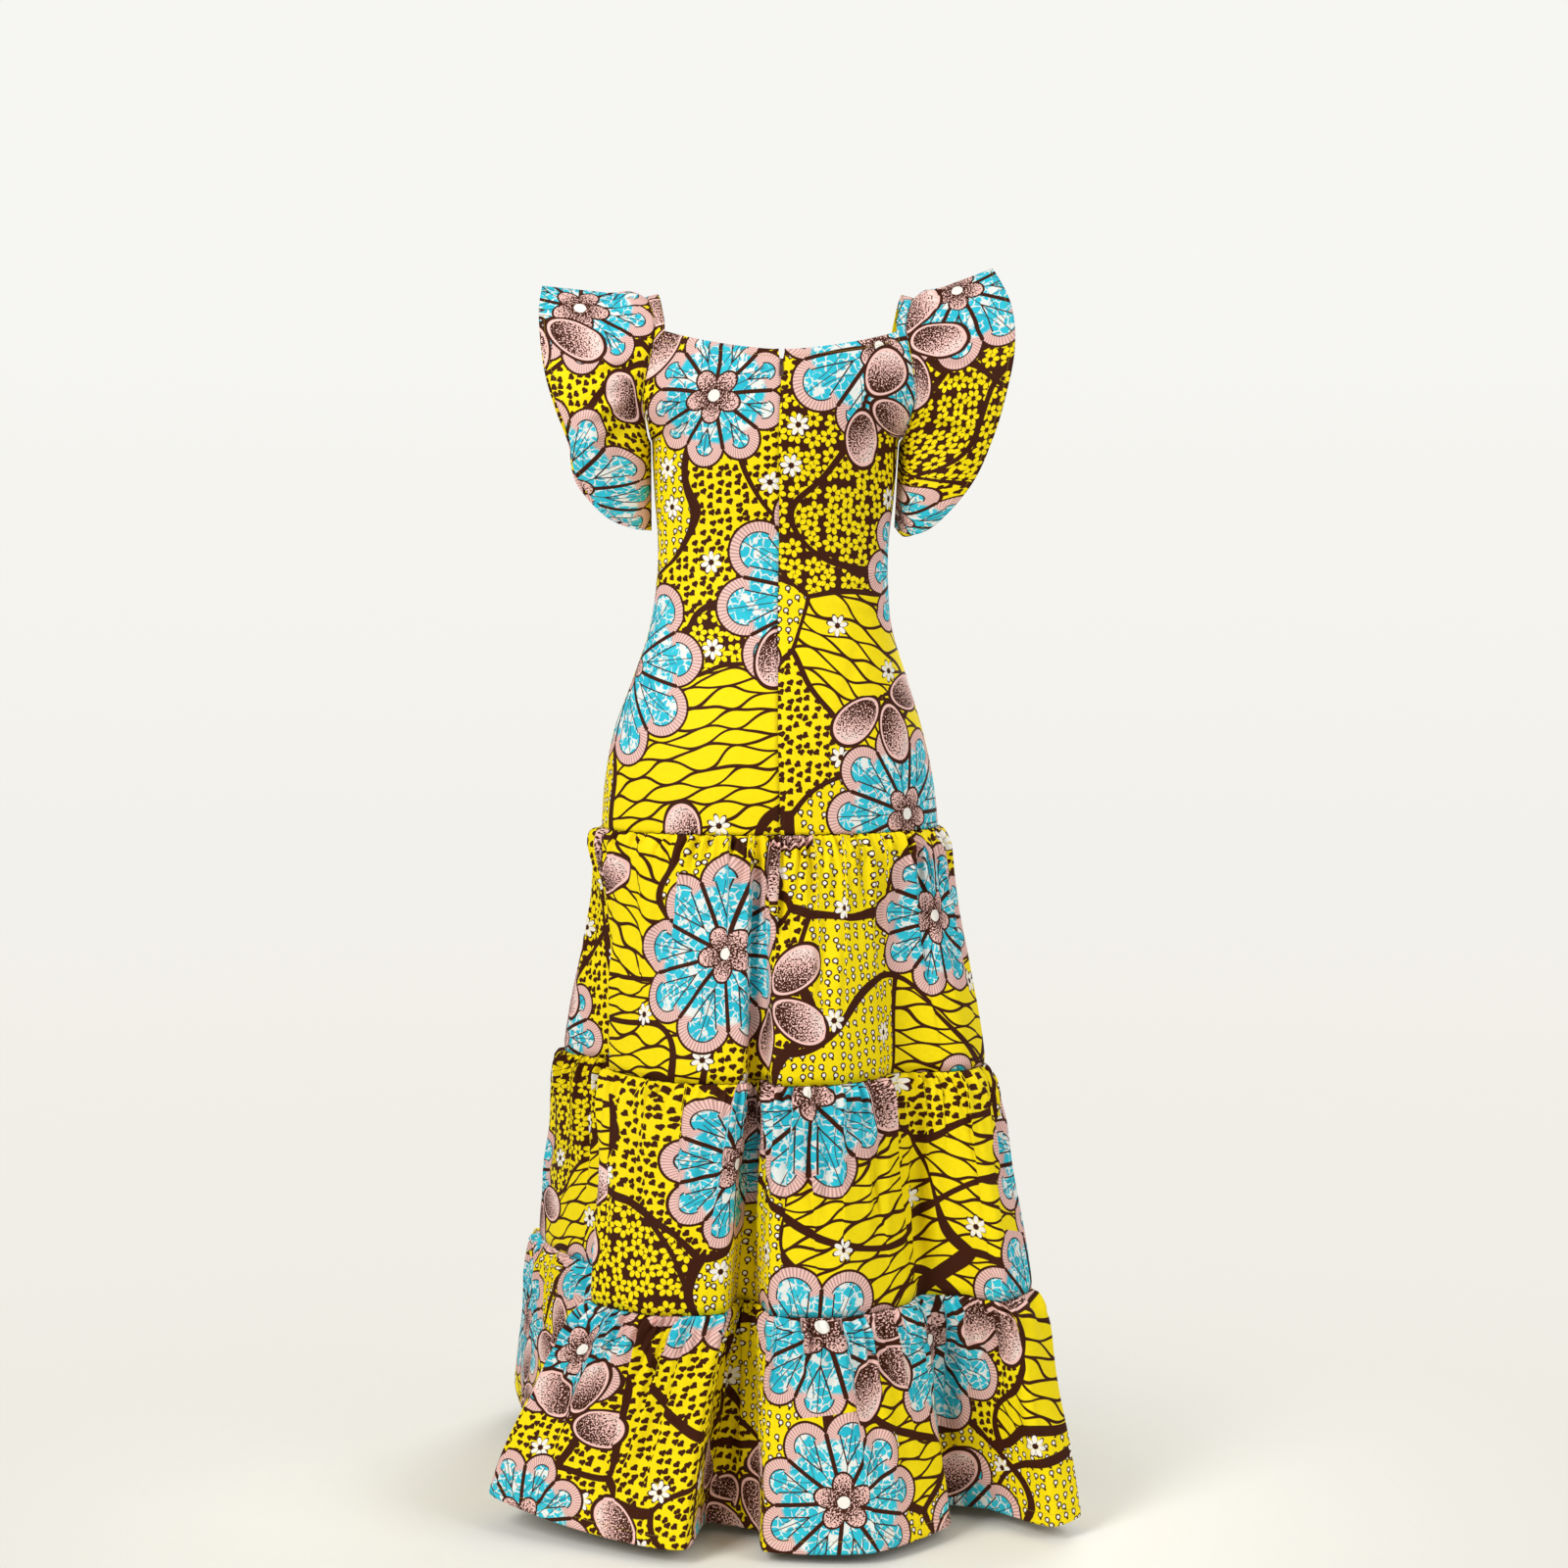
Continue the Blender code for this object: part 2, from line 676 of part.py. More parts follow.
def build_band(name, outer, inner, half, finish, closed):
    """A plate or bar between two matched outlines (y, z), spread along X to both sides."""
    count = len(outer)
    vertices = []
    for x in (-half, half):
        vertices += [(x, y, z) for y, z in outer]
        vertices += [(x, y, z) for y, z in inner]
    faces = []
    for k in range(count if closed else count - 1):
        n = (k + 1) % count
        outer_0, outer_1 = k, n
        inner_0, inner_1 = count + k, count + n
        far = 2 * count
        faces.append((outer_0, outer_1, inner_1, inner_0))
        faces.append((outer_0 + far, inner_0 + far, inner_1 + far, outer_1 + far))
        faces.append((outer_0, outer_0 + far, outer_1 + far, outer_1))
        faces.append((inner_0, inner_1, inner_1 + far, inner_0 + far))
    if not closed:
        last = count - 1
        far = 2 * count
        faces.append((0, count, count + far, far))
        faces.append((last, last + far, count + last + far, count + last))
    return new_object(name, vertices, faces, finish)


def pull_axis():
    """The line the pull tab turns on, just outside the notch at the top of the zip."""
    z = ZIP_TOP_Z + SLIDER_RISE
    return worn(Vector((0.0, back_centre(z) + PULL_STANDOFF, z)))


def build_slider(finish):
    """Slider body behind the back panels, with its crown reaching out through the notch."""
    axis = pull_axis()
    width, deep, tall = SLIDER_SIZE
    face = back_centre(axis.z + tall / 2.0) - CLOTH_WALL - SEAM_GAP - axis.y - SLIDER_CLEARANCE
    root = face - deep / 2.0
    outer = [(root, -CROWN_OUTER)]
    inner = [(root, -CROWN_INNER)]
    for k in range(CROWN_STEPS + 1):
        turn = -math.pi / 2.0 + math.pi * k / CROWN_STEPS
        outer.append((CROWN_OUTER * math.cos(turn), CROWN_OUTER * math.sin(turn)))
        inner.append((CROWN_INNER * math.cos(turn), CROWN_INNER * math.sin(turn)))
    outer.append((root, CROWN_OUTER))
    inner.append((root, CROWN_INNER))
    slider = build_band("zip_slider", outer, inner, CROWN_WIDTH / 2.0, finish, closed=False)
    body_outer = [(face, -tall / 2.0), (face, tall / 2.0)]
    body_inner = [(face - deep, -tall / 2.0), (face - deep, tall / 2.0)]
    body = build_band("zip_slider_body", body_outer, body_inner, width / 2.0, finish, closed=False)
    for piece in (slider, body):
        piece.location = axis
        point_faces_out(piece)
    body.hide_render = True
    body.display_type = "WIRE"
    join = slider.modifiers.new("join_body", "BOOLEAN")
    join.operation = "UNION"
    join.object = body
    return slider


def build_pull(finish):
    """Pull tab: a thin drop-shaped plate whose top bar lies under the slider's crown."""
    bar = PULL_THICKNESS / 2.0
    eye_width, eye_length = PULL_EYE
    outer = [(side * PULL_WIDEST / 2.0, bar - down * PULL_LENGTH) for side, down in PULL_OUTLINE]
    eye_top = -bar
    eye_foot = -bar - eye_length
    eye_half = eye_width / 2.0
    eye_middle = (eye_top + eye_foot) / 2.0
    right = [(eye_half, eye_top), (eye_half, eye_middle), (eye_half, eye_foot), (eye_half / 2.0, eye_foot)]
    inner = [(0.0, eye_top)] + right + [(0.0, eye_foot)]
    inner += [(-x, z) for x, z in reversed(right)]
    pull = build_band("zip_pull", outer, inner, bar, finish, closed=True)
    for vertex in pull.data.vertices:
        x, side, z = vertex.co
        vertex.co = (side, x, z)
    axis = pull_axis()
    fall = back_centre(axis.z - PULL_LENGTH) - back_centre(axis.z)
    pull.location = axis
    pull.rotation_euler.x = math.atan2(fall, PULL_LENGTH)
    point_faces_out(pull)
    return pull


def point_faces_out(obj):
    mesh = bmesh.new()
    mesh.from_mesh(obj.data)
    bmesh.ops.recalc_face_normals(mesh, faces=mesh.faces)
    mesh.to_mesh(obj.data)
    mesh.free()


def material(name, colour, roughness, metallic=0.0):
    finish = bpy.data.materials.new(name)
    finish.use_nodes = True
    shader = finish.node_tree.nodes["Principled BSDF"]
    shader.inputs["Base Color"].default_value = (*colour, 1.0)
    shader.inputs["Roughness"].default_value = roughness
    shader.inputs["Metallic"].default_value = metallic
    return finish


def main():
    for obj in list(bpy.data.objects):
        bpy.data.objects.remove(obj, do_unlink=True)
    cloth = material("wax_print_cotton", CLOTH_COLOUR, 0.75)
    tape = material("zip_tape", ZIP_COLOUR, 0.7)
    metal = material("painted_zip_metal", ZIP_COLOUR, 0.35, 0.6)
    build_front_panel("front_panel", cloth)
    build_back_panel("back_left_panel", 1.0, cloth)
    build_back_panel("back_right_panel", -1.0, cloth)
    build_sleeve("left_sleeve", 1.0, LEFT_SLEEVE_HEM, cloth)
    build_sleeve("right_sleeve", -1.0, RIGHT_SLEEVE_HEM, cloth)
    build_skirt(cloth)
    build_zip(tape)
    build_slider(metal)
    build_pull(metal)


main()
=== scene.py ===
"""Ankara wax print dress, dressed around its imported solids.

A fitted sheath with butterfly sleeves stands over three gathered tiers. Each cut piece is a
thin shell of cotton on its solid's form, with the creases and gathers that sewing gives it.
Lengths are in metres, and in the tables of forms and creases in millimetres. Z is up, the
front faces -Y and the wearer's left is +X.
"""

import math
import random

import bpy
import numpy as np
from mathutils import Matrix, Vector


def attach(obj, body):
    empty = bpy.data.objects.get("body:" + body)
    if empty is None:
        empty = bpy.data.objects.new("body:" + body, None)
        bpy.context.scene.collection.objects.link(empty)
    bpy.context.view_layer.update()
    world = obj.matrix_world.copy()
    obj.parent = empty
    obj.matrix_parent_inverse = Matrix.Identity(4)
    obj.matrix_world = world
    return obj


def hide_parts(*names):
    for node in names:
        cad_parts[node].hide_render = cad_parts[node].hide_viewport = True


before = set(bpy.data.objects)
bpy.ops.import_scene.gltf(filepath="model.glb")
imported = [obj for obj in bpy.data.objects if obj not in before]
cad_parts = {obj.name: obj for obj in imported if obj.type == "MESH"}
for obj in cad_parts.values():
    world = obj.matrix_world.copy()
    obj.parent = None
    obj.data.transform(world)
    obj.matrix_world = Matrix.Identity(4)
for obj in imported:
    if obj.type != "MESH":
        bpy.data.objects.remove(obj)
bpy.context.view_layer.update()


# ================================================================ wax print cotton
# Plain-woven cotton, resist printed on both faces: yellow ground cut up by dark brown bands,
# small fillings between them, and large blue flowers edged in hatched pink. Every cut piece
# carries a map named "cloth", in metres on the uncut cloth, which this print is read from.
YELLOW = (0.950, 0.740, 0.003, 1.0)
BROWN = (0.050, 0.011, 0.003, 1.0)
TURQUOISE = (0.045, 0.630, 0.740, 1.0)
DEEP_TURQUOISE = (0.015, 0.430, 0.580, 1.0)
PINK = (0.940, 0.580, 0.515, 1.0)
RESIST_WHITE = (0.930, 0.880, 0.800, 1.0)

INK_EDGE = 0.0005
CELL_PITCH = 0.175
CELL_STRAY = 0.95
CELL_BEND = 0.170
BAND_HALF_WIDTH = (0.0020, 0.0070)
VINE_SCALE = 3.6
VINE_HALF_WIDTH = (0.0012, 0.0066)
VINE_STEP = 0.004
VINE_PLACE = (7.3, 2.1)
# share of the cells under which they are filled with spots, lenses and rings, or else daisies
SPOT_CELLS, LENS_CELLS, RING_CELLS = 0.37, 0.62, 0.82
SPOT_PITCH = 0.0104
RING_PITCH = 0.0118
DAISY_PITCH = 0.0205
DAISY_LOBES = 6
STRAY_DAISY_PITCH = 0.074
STRAY_DAISY_SHARE = 0.42
STRAY_DAISY_LOBES = 7
STRAY_DAISY_SIZE = 0.0128
LENS_SIZE = (0.045, 0.0225)
LENS_LINE = 0.0034
LENS_SLANT = (-0.55, 0.50)
LENS_WANDER = 0.016
FLOWER_PITCH = 0.285
FLOWER_LOBES = 9
FLOWER_RADIUS = (0.078, 0.118)
BORDER_WIDTH = 0.0130
HATCH_LINES = 60.0
CRACKLE_PITCH = 0.0105
HEART_RADIUS = 0.034
HEART_LOBES = 5
POD_PITCH = 0.250
POD_LOBES = 5
POD_REACH = 0.047
POD_HALF_LENGTH = 0.039
POD_HALF_WIDTH = 0.0255
THREAD_PITCH = 0.00045


class Nodes:
    """Adds nodes to one tree. A value is a number, a tuple or another node's output."""

    def __init__(self, tree):
        self.tree = tree

    def fill(self, made, inputs):
        for name, value in inputs.items():
            if isinstance(value, bpy.types.NodeSocket):
                self.tree.links.new(value, made.inputs[name])
            else:
                made.inputs[name].default_value = value
        return made

    def node(self, kind, inputs, **settings):
        made = self.tree.nodes.new(kind)
        for name, value in settings.items():
            setattr(made, name, value)
        return self.fill(made, inputs)

    def math(self, operation, *values, clamp=False):
        inputs = dict(enumerate(values))
        return self.node("ShaderNodeMath", inputs, operation=operation, use_clamp=clamp).outputs[0]

    def plus(self, first, second):
        return self.math("ADD", first, second)

    def minus(self, first, second):
        return self.math("SUBTRACT", first, second)

    def times(self, first, second):
        return self.math("MULTIPLY", first, second)

    both = times

    def either(self, first, second):
        return self.math("MAXIMUM", first, second)

    def size(self, value):
        return self.math("ABSOLUTE", value)

    def between(self, low, high, share):
        return self.math("MULTIPLY_ADD", share, high - low, low)

    def under(self, value, limit, soft=INK_EDGE):
        """1 where the value is under the limit and 0 past it, over a soft edge."""
        return self.math("MULTIPLY_ADD", self.minus(limit, value), 1.0 / soft, 0.5, clamp=True)

    def vector(self, operation, first, second):
        inputs = {0: first, "Scale" if operation == "SCALE" else 1: second}
        return self.node("ShaderNodeVectorMath", inputs, operation=operation).outputs["Vector"]

    def length(self, vector):
        return self.node("ShaderNodeVectorMath", {0: vector}, operation="LENGTH").outputs["Value"]

    def parts(self, vector):
        return self.node("ShaderNodeSeparateXYZ", {0: vector}).outputs[:]

    def join(self, x, y, z=0.0):
        return self.node("ShaderNodeCombineXYZ", {0: x, 1: y, 2: z}).outputs[0]

    def place(self):
        return self.node("ShaderNodeTexCoord", {}).outputs["Object"]

    def ink(self, share, ground, colour):
        inputs = {0: share, 6: ground, 7: colour}
        return self.node("ShaderNodeMix", inputs, data_type="RGBA").outputs[2]

    def noise(self, vector, scale, detail=1.0, output=0, flat=True):
        inputs = {"Vector": vector, "Scale": scale, "Detail": detail}
        made = self.node("ShaderNodeTexNoise", inputs, noise_dimensions="2D" if flat else "3D")
        return made.outputs[output]

    def wander(self, vector, scale, detail, reach):
        """Shift places about by up to half the reach."""
        drift = self.vector("SUBTRACT", self.noise(vector, scale, detail, "Color"), (0.5, 0.5, 0.5))
        return self.vector("ADD", vector, self.vector("SCALE", drift, reach))

    def scatter(self, vector, pitch, stray=1.0, feature="F1"):
        """Points strewn over the cloth, one for each pitch; stray is how far from an even grid."""
        inputs = {"Vector": vector, "Scale": 1.0 / pitch, "Randomness": stray}
        return self.node("ShaderNodeTexVoronoi", inputs, voronoi_dimensions="2D", feature=feature)

    def to_edge(self, vector, pitch, stray=1.0):
        return self.scatter(vector, pitch, stray, "DISTANCE_TO_EDGE").outputs["Distance"]

    def luck(self, points, channel):
        return self.node("ShaderNodeSeparateColor", {0: points.outputs["Color"]}).outputs[channel]

    def any_turn(self, points, channel):
        return self.times(self.luck(points, channel), math.tau)

    def turned(self, vector, angle):
        inputs = {"Vector": vector, "Angle": angle}
        return self.node("ShaderNodeVectorRotate", inputs, rotation_type="Z_AXIS").outputs[0]

    def about(self, vector, points, angle):
        """Place in a motif: metres from its middle, turned by its own random angle."""
        return self.turned(self.vector("SUBTRACT", vector, points.outputs["Position"]), angle)

    def wedge(self, vector, lobes):
        """Fold a motif into one lobe: out along its middle, across it, and the angle across."""
        x, y, _ = self.parts(vector)
        reach = self.length(vector)
        turns = self.times(self.math("ARCTAN2", y, x), lobes / math.tau)
        across = self.times(self.minus(turns, self.math("ROUND", turns)), math.tau / lobes)
        out = self.times(reach, self.math("COSINE", across))
        return out, self.times(reach, self.math("SINE", across)), across, reach

    def surface(self, inputs, height, strength, distance):
        """Fill the surface's sockets and raise its bump from a height."""
        bump = {"Strength": strength, "Distance": distance, "Height": height}
        inputs["Normal"] = self.node("ShaderNodeBump", bump).outputs[0]
        self.fill(self.tree.nodes["Principled BSDF"], inputs)


def new_finish(name):
    finish = bpy.data.materials.new(name)
    finish.use_nodes = True
    return finish, Nodes(finish.node_tree)


def print_cells(p, cloth):
    """Bent bands and long vines that part the ground into cells, each with its own filling."""
    bent = p.wander(cloth, 5.0, 1.0, CELL_BEND)
    cells = p.scatter(bent, CELL_PITCH, CELL_STRAY)
    edge = p.times(p.to_edge(bent, CELL_PITCH, CELL_STRAY), CELL_PITCH)
    swell = p.noise(cloth, 9.0, 0.0)
    band = p.under(edge, p.between(*BAND_HALF_WIDTH, swell))
    x, y = VINE_PLACE
    vine, aside, above = (
        p.noise(p.vector("ADD", cloth, place), VINE_SCALE, 0.4)
        for place in ((x, y, 0.0), (x + VINE_STEP, y, 0.0), (x, y + VINE_STEP, 0.0))
    )
    slope = p.length(p.join(p.minus(aside, vine), p.minus(above, vine)))
    near = p.times(p.size(p.minus(vine, 0.5)), VINE_STEP)
    near = p.math("DIVIDE", near, p.math("MAXIMUM", slope, 0.0004))
    band = p.either(band, p.under(near, p.between(*VINE_HALF_WIDTH, swell)))
    return band, p.luck(cells, 0), p.between(*LENS_SLANT, p.luck(cells, 1))


def print_spots(p, cloth):
    """Plump dark hearts close together: two round lobes and a point, leaning much alike."""
    points = p.scatter(cloth, SPOT_PITCH, 0.60)
    x, y, _ = p.parts(p.about(cloth, points, p.between(0.1, 1.1, p.luck(points, 0))))
    lobe = p.length(p.join(p.minus(p.size(x), SPOT_PITCH * 0.16), y))
    point = p.plus(p.times(p.size(x), 1.15), p.size(y))
    low = p.both(p.under(point, SPOT_PITCH * 0.50), p.under(y, SPOT_PITCH * 0.06))
    return p.ink(p.either(p.under(lobe, SPOT_PITCH * 0.245), low), YELLOW, BROWN)


def print_rings(p, cloth):
    """Dark rings round a pale middle, each with a short tail."""
    points = p.scatter(cloth, RING_PITCH, 0.55)
    q = p.about(cloth, points, p.between(1.8, 2.8, p.luck(points, 0)))
    reach = p.length(q)
    tail = p.length(p.vector("SUBTRACT", q, (RING_PITCH * 0.31, RING_PITCH * 0.21, 0.0)))
    dark = p.either(p.under(reach, RING_PITCH * 0.300), p.under(tail, RING_PITCH * 0.13))
    return p.ink(p.under(reach, RING_PITCH * 0.165), p.ink(dark, YELLOW, BROWN), RESIST_WHITE)


def daisy(p, q, size, lobes):
    """Where a round-petalled daisy of that half width is, and where its middle is."""
    out, side, _, reach = p.wedge(q, lobes)
    petal = p.length(p.join(p.minus(out, size * 0.62), p.times(side, (lobes - 2.0) * 0.35)))
    return p.under(petal, size * 0.37), p.under(reach, size * 0.24)


def print_daisies(p, cloth):
    points = p.scatter(cloth, DAISY_PITCH, 0.35)
    q = p.about(cloth, points, p.any_turn(points, 1))
    petal, middle = daisy(p, q, DAISY_PITCH * 0.54, DAISY_LOBES)
    return p.ink(middle, p.ink(petal, BROWN, YELLOW), BROWN)


def print_stray_daisies(p, cloth, ground):
    """White daisies with a dark outline, dropped here and there over the fillings."""
    points = p.scatter(cloth, STRAY_DAISY_PITCH)
    shown = p.under(p.luck(points, 0), STRAY_DAISY_SHARE, 0.01)
    q = p.about(cloth, points, p.any_turn(points, 1))
    outline, bed = daisy(p, q, STRAY_DAISY_SIZE * 1.15, STRAY_DAISY_LOBES)
    petal, middle = daisy(p, q, STRAY_DAISY_SIZE, STRAY_DAISY_LOBES)
    for mask, colour in ((p.either(outline, bed), BROWN), (petal, RESIST_WHITE), (middle, BROWN)):
        ground = p.ink(p.both(shown, mask), ground, colour)
    return ground


def print_lenses(p, cloth, slant):
    """Waved lines that meet and part, leaving rows of pointed lenses."""
    x, y, _ = p.parts(p.turned(p.wander(cloth, 22.0, 0.0, LENS_WANDER), slant))
    long, tall = LENS_SIZE
    wave = p.times(p.math("COSINE", p.times(x, math.pi / long)), 0.25)
    row = p.times(y, 1.0 / tall)
    lines = p.plus(row, wave), p.plus(p.minus(row, wave), 0.5)
    gaps = [p.size(p.minus(line, p.math("ROUND", line))) for line in lines]
    near = p.times(p.math("MINIMUM", *gaps), tall)
    return p.ink(p.under(near, LENS_LINE * 0.5), YELLOW, BROWN)


def stipple(p, cloth, share):
    """Fine dark grains, thicker where the share is high."""
    return p.under(p.noise(cloth, 520.0, 2.0), p.between(0.35, 0.67, share), 0.05)


def crackled_petal(p, cloth):
    """Turquoise resist dye, uneven in depth, with white veins and clouds where the wax broke."""
    cloud = p.noise(cloth, 62.0, 2.0)
    loose = p.vector("SCALE", p.noise(cloth, 120.0, 1.0, "Color"), 0.006)
    crackle = p.to_edge(p.vector("ADD", cloth, loose), CRACKLE_PITCH)
    vein = p.both(p.under(crackle, 0.070, 0.04), p.under(0.40, cloud, 0.08))
    white = p.either(p.under(0.61, cloud, 0.05), vein)
    petal = p.ink(p.noise(cloth, 30.0), TURQUOISE, DEEP_TURQUOISE)
    return p.ink(p.times(white, 0.88), petal, RESIST_WHITE)


def print_flowers(p, cloth, ground):
    """Large round flowers: scalloped hatched border, crackled blue petals, stippled heart."""
    points = p.scatter(cloth, FLOWER_PITCH, 0.55)
    size = p.between(*FLOWER_RADIUS, p.luck(points, 0))
    q = p.about(cloth, points, p.any_turn(points, 1))
    out, side, across, reach = p.wedge(q, FLOWER_LOBES)
    half = math.pi / FLOWER_LOBES
    ring = p.times(size, 0.80)
    past = p.minus(out, ring)
    lobe = p.minus(p.times(ring, math.tan(half) * 1.05), p.length(p.join(past, side)))
    slit = p.times(reach, p.math("SINE", p.minus(half, p.size(across))))
    outer = p.math("GREATER_THAN", past, 0.0)
    depth = p.plus(p.both(outer, lobe), p.both(p.minus(1.0, outer), slit))
    shown = p.under(-INK_EDGE, depth)

    rim = p.both(p.under(depth, BORDER_WIDTH), p.under(p.times(past, -1.0), 0.006, 0.004))
    spoke = p.math("ARCTAN2", side, p.plus(past, 0.012))
    hatch = p.under(p.math("SINE", p.times(spoke, HATCH_LINES)), -0.15, 0.5)
    border = p.ink(p.times(hatch, 0.45), PINK, BROWN)
    curve = p.times(p.times(past, 6.0), past)
    rib = p.size(side)
    fork = p.size(p.minus(rib, p.plus(curve, 0.0045)))
    lines = p.either(p.under(rib, 0.0005), p.both(p.under(fork, 0.0004), p.under(out, ring)))
    inside = p.both(p.under(depth, BORDER_WIDTH + 0.0016), p.under(BORDER_WIDTH, depth))
    petal = crackled_petal(p, cloth)
    for mask, colour in ((lines, BROWN), (inside, BROWN), (rim, border), (p.under(depth, 0.0024), BROWN)):
        petal = p.ink(mask, petal, colour)
    flower = p.ink(shown, ground, petal)

    inner, beside, _, far = p.wedge(q, HEART_LOBES)
    leaf = p.length(p.join(p.minus(inner, HEART_RADIUS * 0.55), p.times(beside, 1.25)))
    depth = p.minus(HEART_RADIUS * 0.45, leaf)
    shade = p.math("MULTIPLY_ADD", inner, -1.0 / HEART_RADIUS, 1.05, clamp=True)
    heart = p.ink(stipple(p, cloth, shade), PINK, BROWN)
    heart = p.ink(p.under(depth, 0.0026), heart, BROWN)
    heart = p.ink(p.under(far, HEART_RADIUS * 0.20), heart, RESIST_WHITE)
    return p.ink(p.either(p.under(0.0, depth), p.under(far, HEART_RADIUS * 0.5)), flower, heart)


def print_pods(p, cloth, ground):
    """Bunches of three plump pink pods, stippled dark at the foot and thickly outlined."""
    points = p.scatter(cloth, POD_PITCH, 0.9)
    q = p.about(cloth, points, p.any_turn(points, 0))
    out, side, _, reach = p.wedge(q, POD_LOBES)
    three_lobes = math.cos(math.tau / POD_LOBES * 1.5)
    bunch = p.math("GREATER_THAN", p.parts(q)[0], p.times(reach, three_lobes))
    along = p.minus(out, POD_REACH)
    taper = p.math("MULTIPLY_ADD", along, -4.0, 1.06)
    oval = p.join(p.times(along, POD_HALF_WIDTH / POD_HALF_LENGTH), p.times(side, taper))
    depth = p.minus(POD_HALF_WIDTH, p.length(oval))
    shade = p.math("MULTIPLY_ADD", along, -0.5 / POD_HALF_LENGTH, 0.54)
    shade = p.math("ADD", shade, p.times(side, 14.0), clamp=True)
    glow = p.math("MULTIPLY_ADD", shade, -1.6, 0.62, clamp=True)
    fill = p.ink(stipple(p, cloth, shade), p.ink(glow, PINK, RESIST_WHITE), BROWN)
    fill = p.ink(p.under(depth, 0.0056), fill, PINK)
    fill = p.ink(p.under(depth, 0.0032), fill, BROWN)
    stalk = p.both(p.under(p.size(side), 0.0022), p.under(out, POD_REACH))
    ground = p.ink(p.both(stalk, bunch), ground, BROWN)
    return p.ink(p.both(p.under(0.0, depth), bunch), ground, fill)


def wax_print(name):
    """The whole print, laid from the ground up, on cotton with a plain weave."""
    finish, p = new_finish(name)
    cloth = p.node("ShaderNodeUVMap", {}, uv_map="cloth").outputs[0]
    band, choice, slant = print_cells(p, cloth)
    ground = p.ink(p.under(choice, RING_CELLS, 0.001), print_daisies(p, cloth), print_rings(p, cloth))
    ground = p.ink(p.under(choice, LENS_CELLS, 0.001), ground, print_lenses(p, cloth, slant))
    ground = p.ink(p.under(choice, SPOT_CELLS, 0.001), ground, print_spots(p, cloth))
    ground = p.ink(band, ground, BROWN)
    for over_print in (print_stray_daisies, print_flowers, print_pods):
        ground = over_print(p, cloth, ground)

    mottle = p.noise(cloth, 160.0, 3.0)
    dye = {"Value": p.between(0.93, 1.06, mottle), "Color": ground}
    x, y, _ = p.parts(cloth)
    weave = p.times(*(p.math("SINE", p.times(way, math.tau / THREAD_PITCH)) for way in (x, y)))
    slub = p.math("MULTIPLY_ADD", mottle, 1.2, p.times(weave, 0.5))
    look = {
        "Base Color": p.node("ShaderNodeHueSaturation", dye).outputs[0],
        "Roughness": p.between(0.55, 0.72, mottle),
        "Sheen Weight": 0.015,
        "Sheen Roughness": 0.4,
        "Specular IOR Level": 0.10,
    }
    p.surface(look, slub, 0.25, 0.00012)
    return finish


wax_cotton = wax_print("wax_print_cotton")


# ================================================================ back panels
# Two halves of the fitted back, cut from neckline to hip seam, darted to the waist and joined
# by the zip. They hug the wearer, so their creases are shallow pulls at the waist and arms.
CLOTH_THICKNESS = 0.0007
SEAM_GAP = 0.0003
SEAM_ROLL = 0.0012
SEAM_ROLL_WIDTH = 0.0030

UNDERARM_Z = -0.165
HIP_SEAM_Z = -0.612
ARMHOLE_HALF_HEIGHT = 0.0825
ARMHOLE_HALF_DEPTH = 0.062
STRAP_CORNER_DEG = 60.0
STRAP_RISE = 0.003
STRAP_WIDEN = 0.015
STRAP_FOOT = 0.89
BACK_NECK_Z = -0.070
FRONT_NECK_Z = -0.112
NECK_CURVE = 1.5
BUST_FULLNESS = 0.010
BUST_POINT = (0.078, -0.190)
BUST_SPREAD = (0.042, 0.050)
STRAP_COLUMN = 44
STRAP_COLUMNS = 7
BODY_ROWS = 110
ARM_ROWS = 26
STRAP_ROWS = 14
NECK_ROW = BODY_ROWS + ARM_ROWS
CREASE_WANDER = 0.35
CREASE_TROUGH = 0.5


def in_metres(table, others=()):
    """A table given in millimetres; columns listed as others are shares or degrees."""
    return [[value if k in others else value / 1000.0 for k, value in enumerate(row)] for row in table]


# height, half width, back, front, lean, and turn in degrees
SHEATH = in_metres((
    (-612, 197, 140, 126, 0, 0),
    (-560, 192, 137, 124, 1, 0),
    (-500, 180, 128, 119, 2, 0),
    (-440, 160, 110, 110, 0, 0),
    (-380, 141, 90, 102, -1, 0),
    (-320, 134.5, 79, 99, -3, 0),
    (-280, 134.5, 79, 103, -4, 0.3),
    (-230, 139, 86, 112, -5, 1.2),
    (-165, 143, 96, 118, -6, 2.6),
    (-110, 145, 98, 110, -10, 3.5),
    (-70, 150, 95, 98, -11, 3.5),
), others=(5,))

# degrees round the armhole, side
ARMHOLE = in_metres((
    (0, 156),
    (30, 149),
    (60, 143),
    (90, 149.5),
    (115, 155),
    (150, 148),
    (180, 143.3),
), others=(0,))

# height, half width of the notch over the zip
NOTCH = in_metres((
    (-90, 0.15),
    (-80, 1.8),
    (-70, 4.2),
))

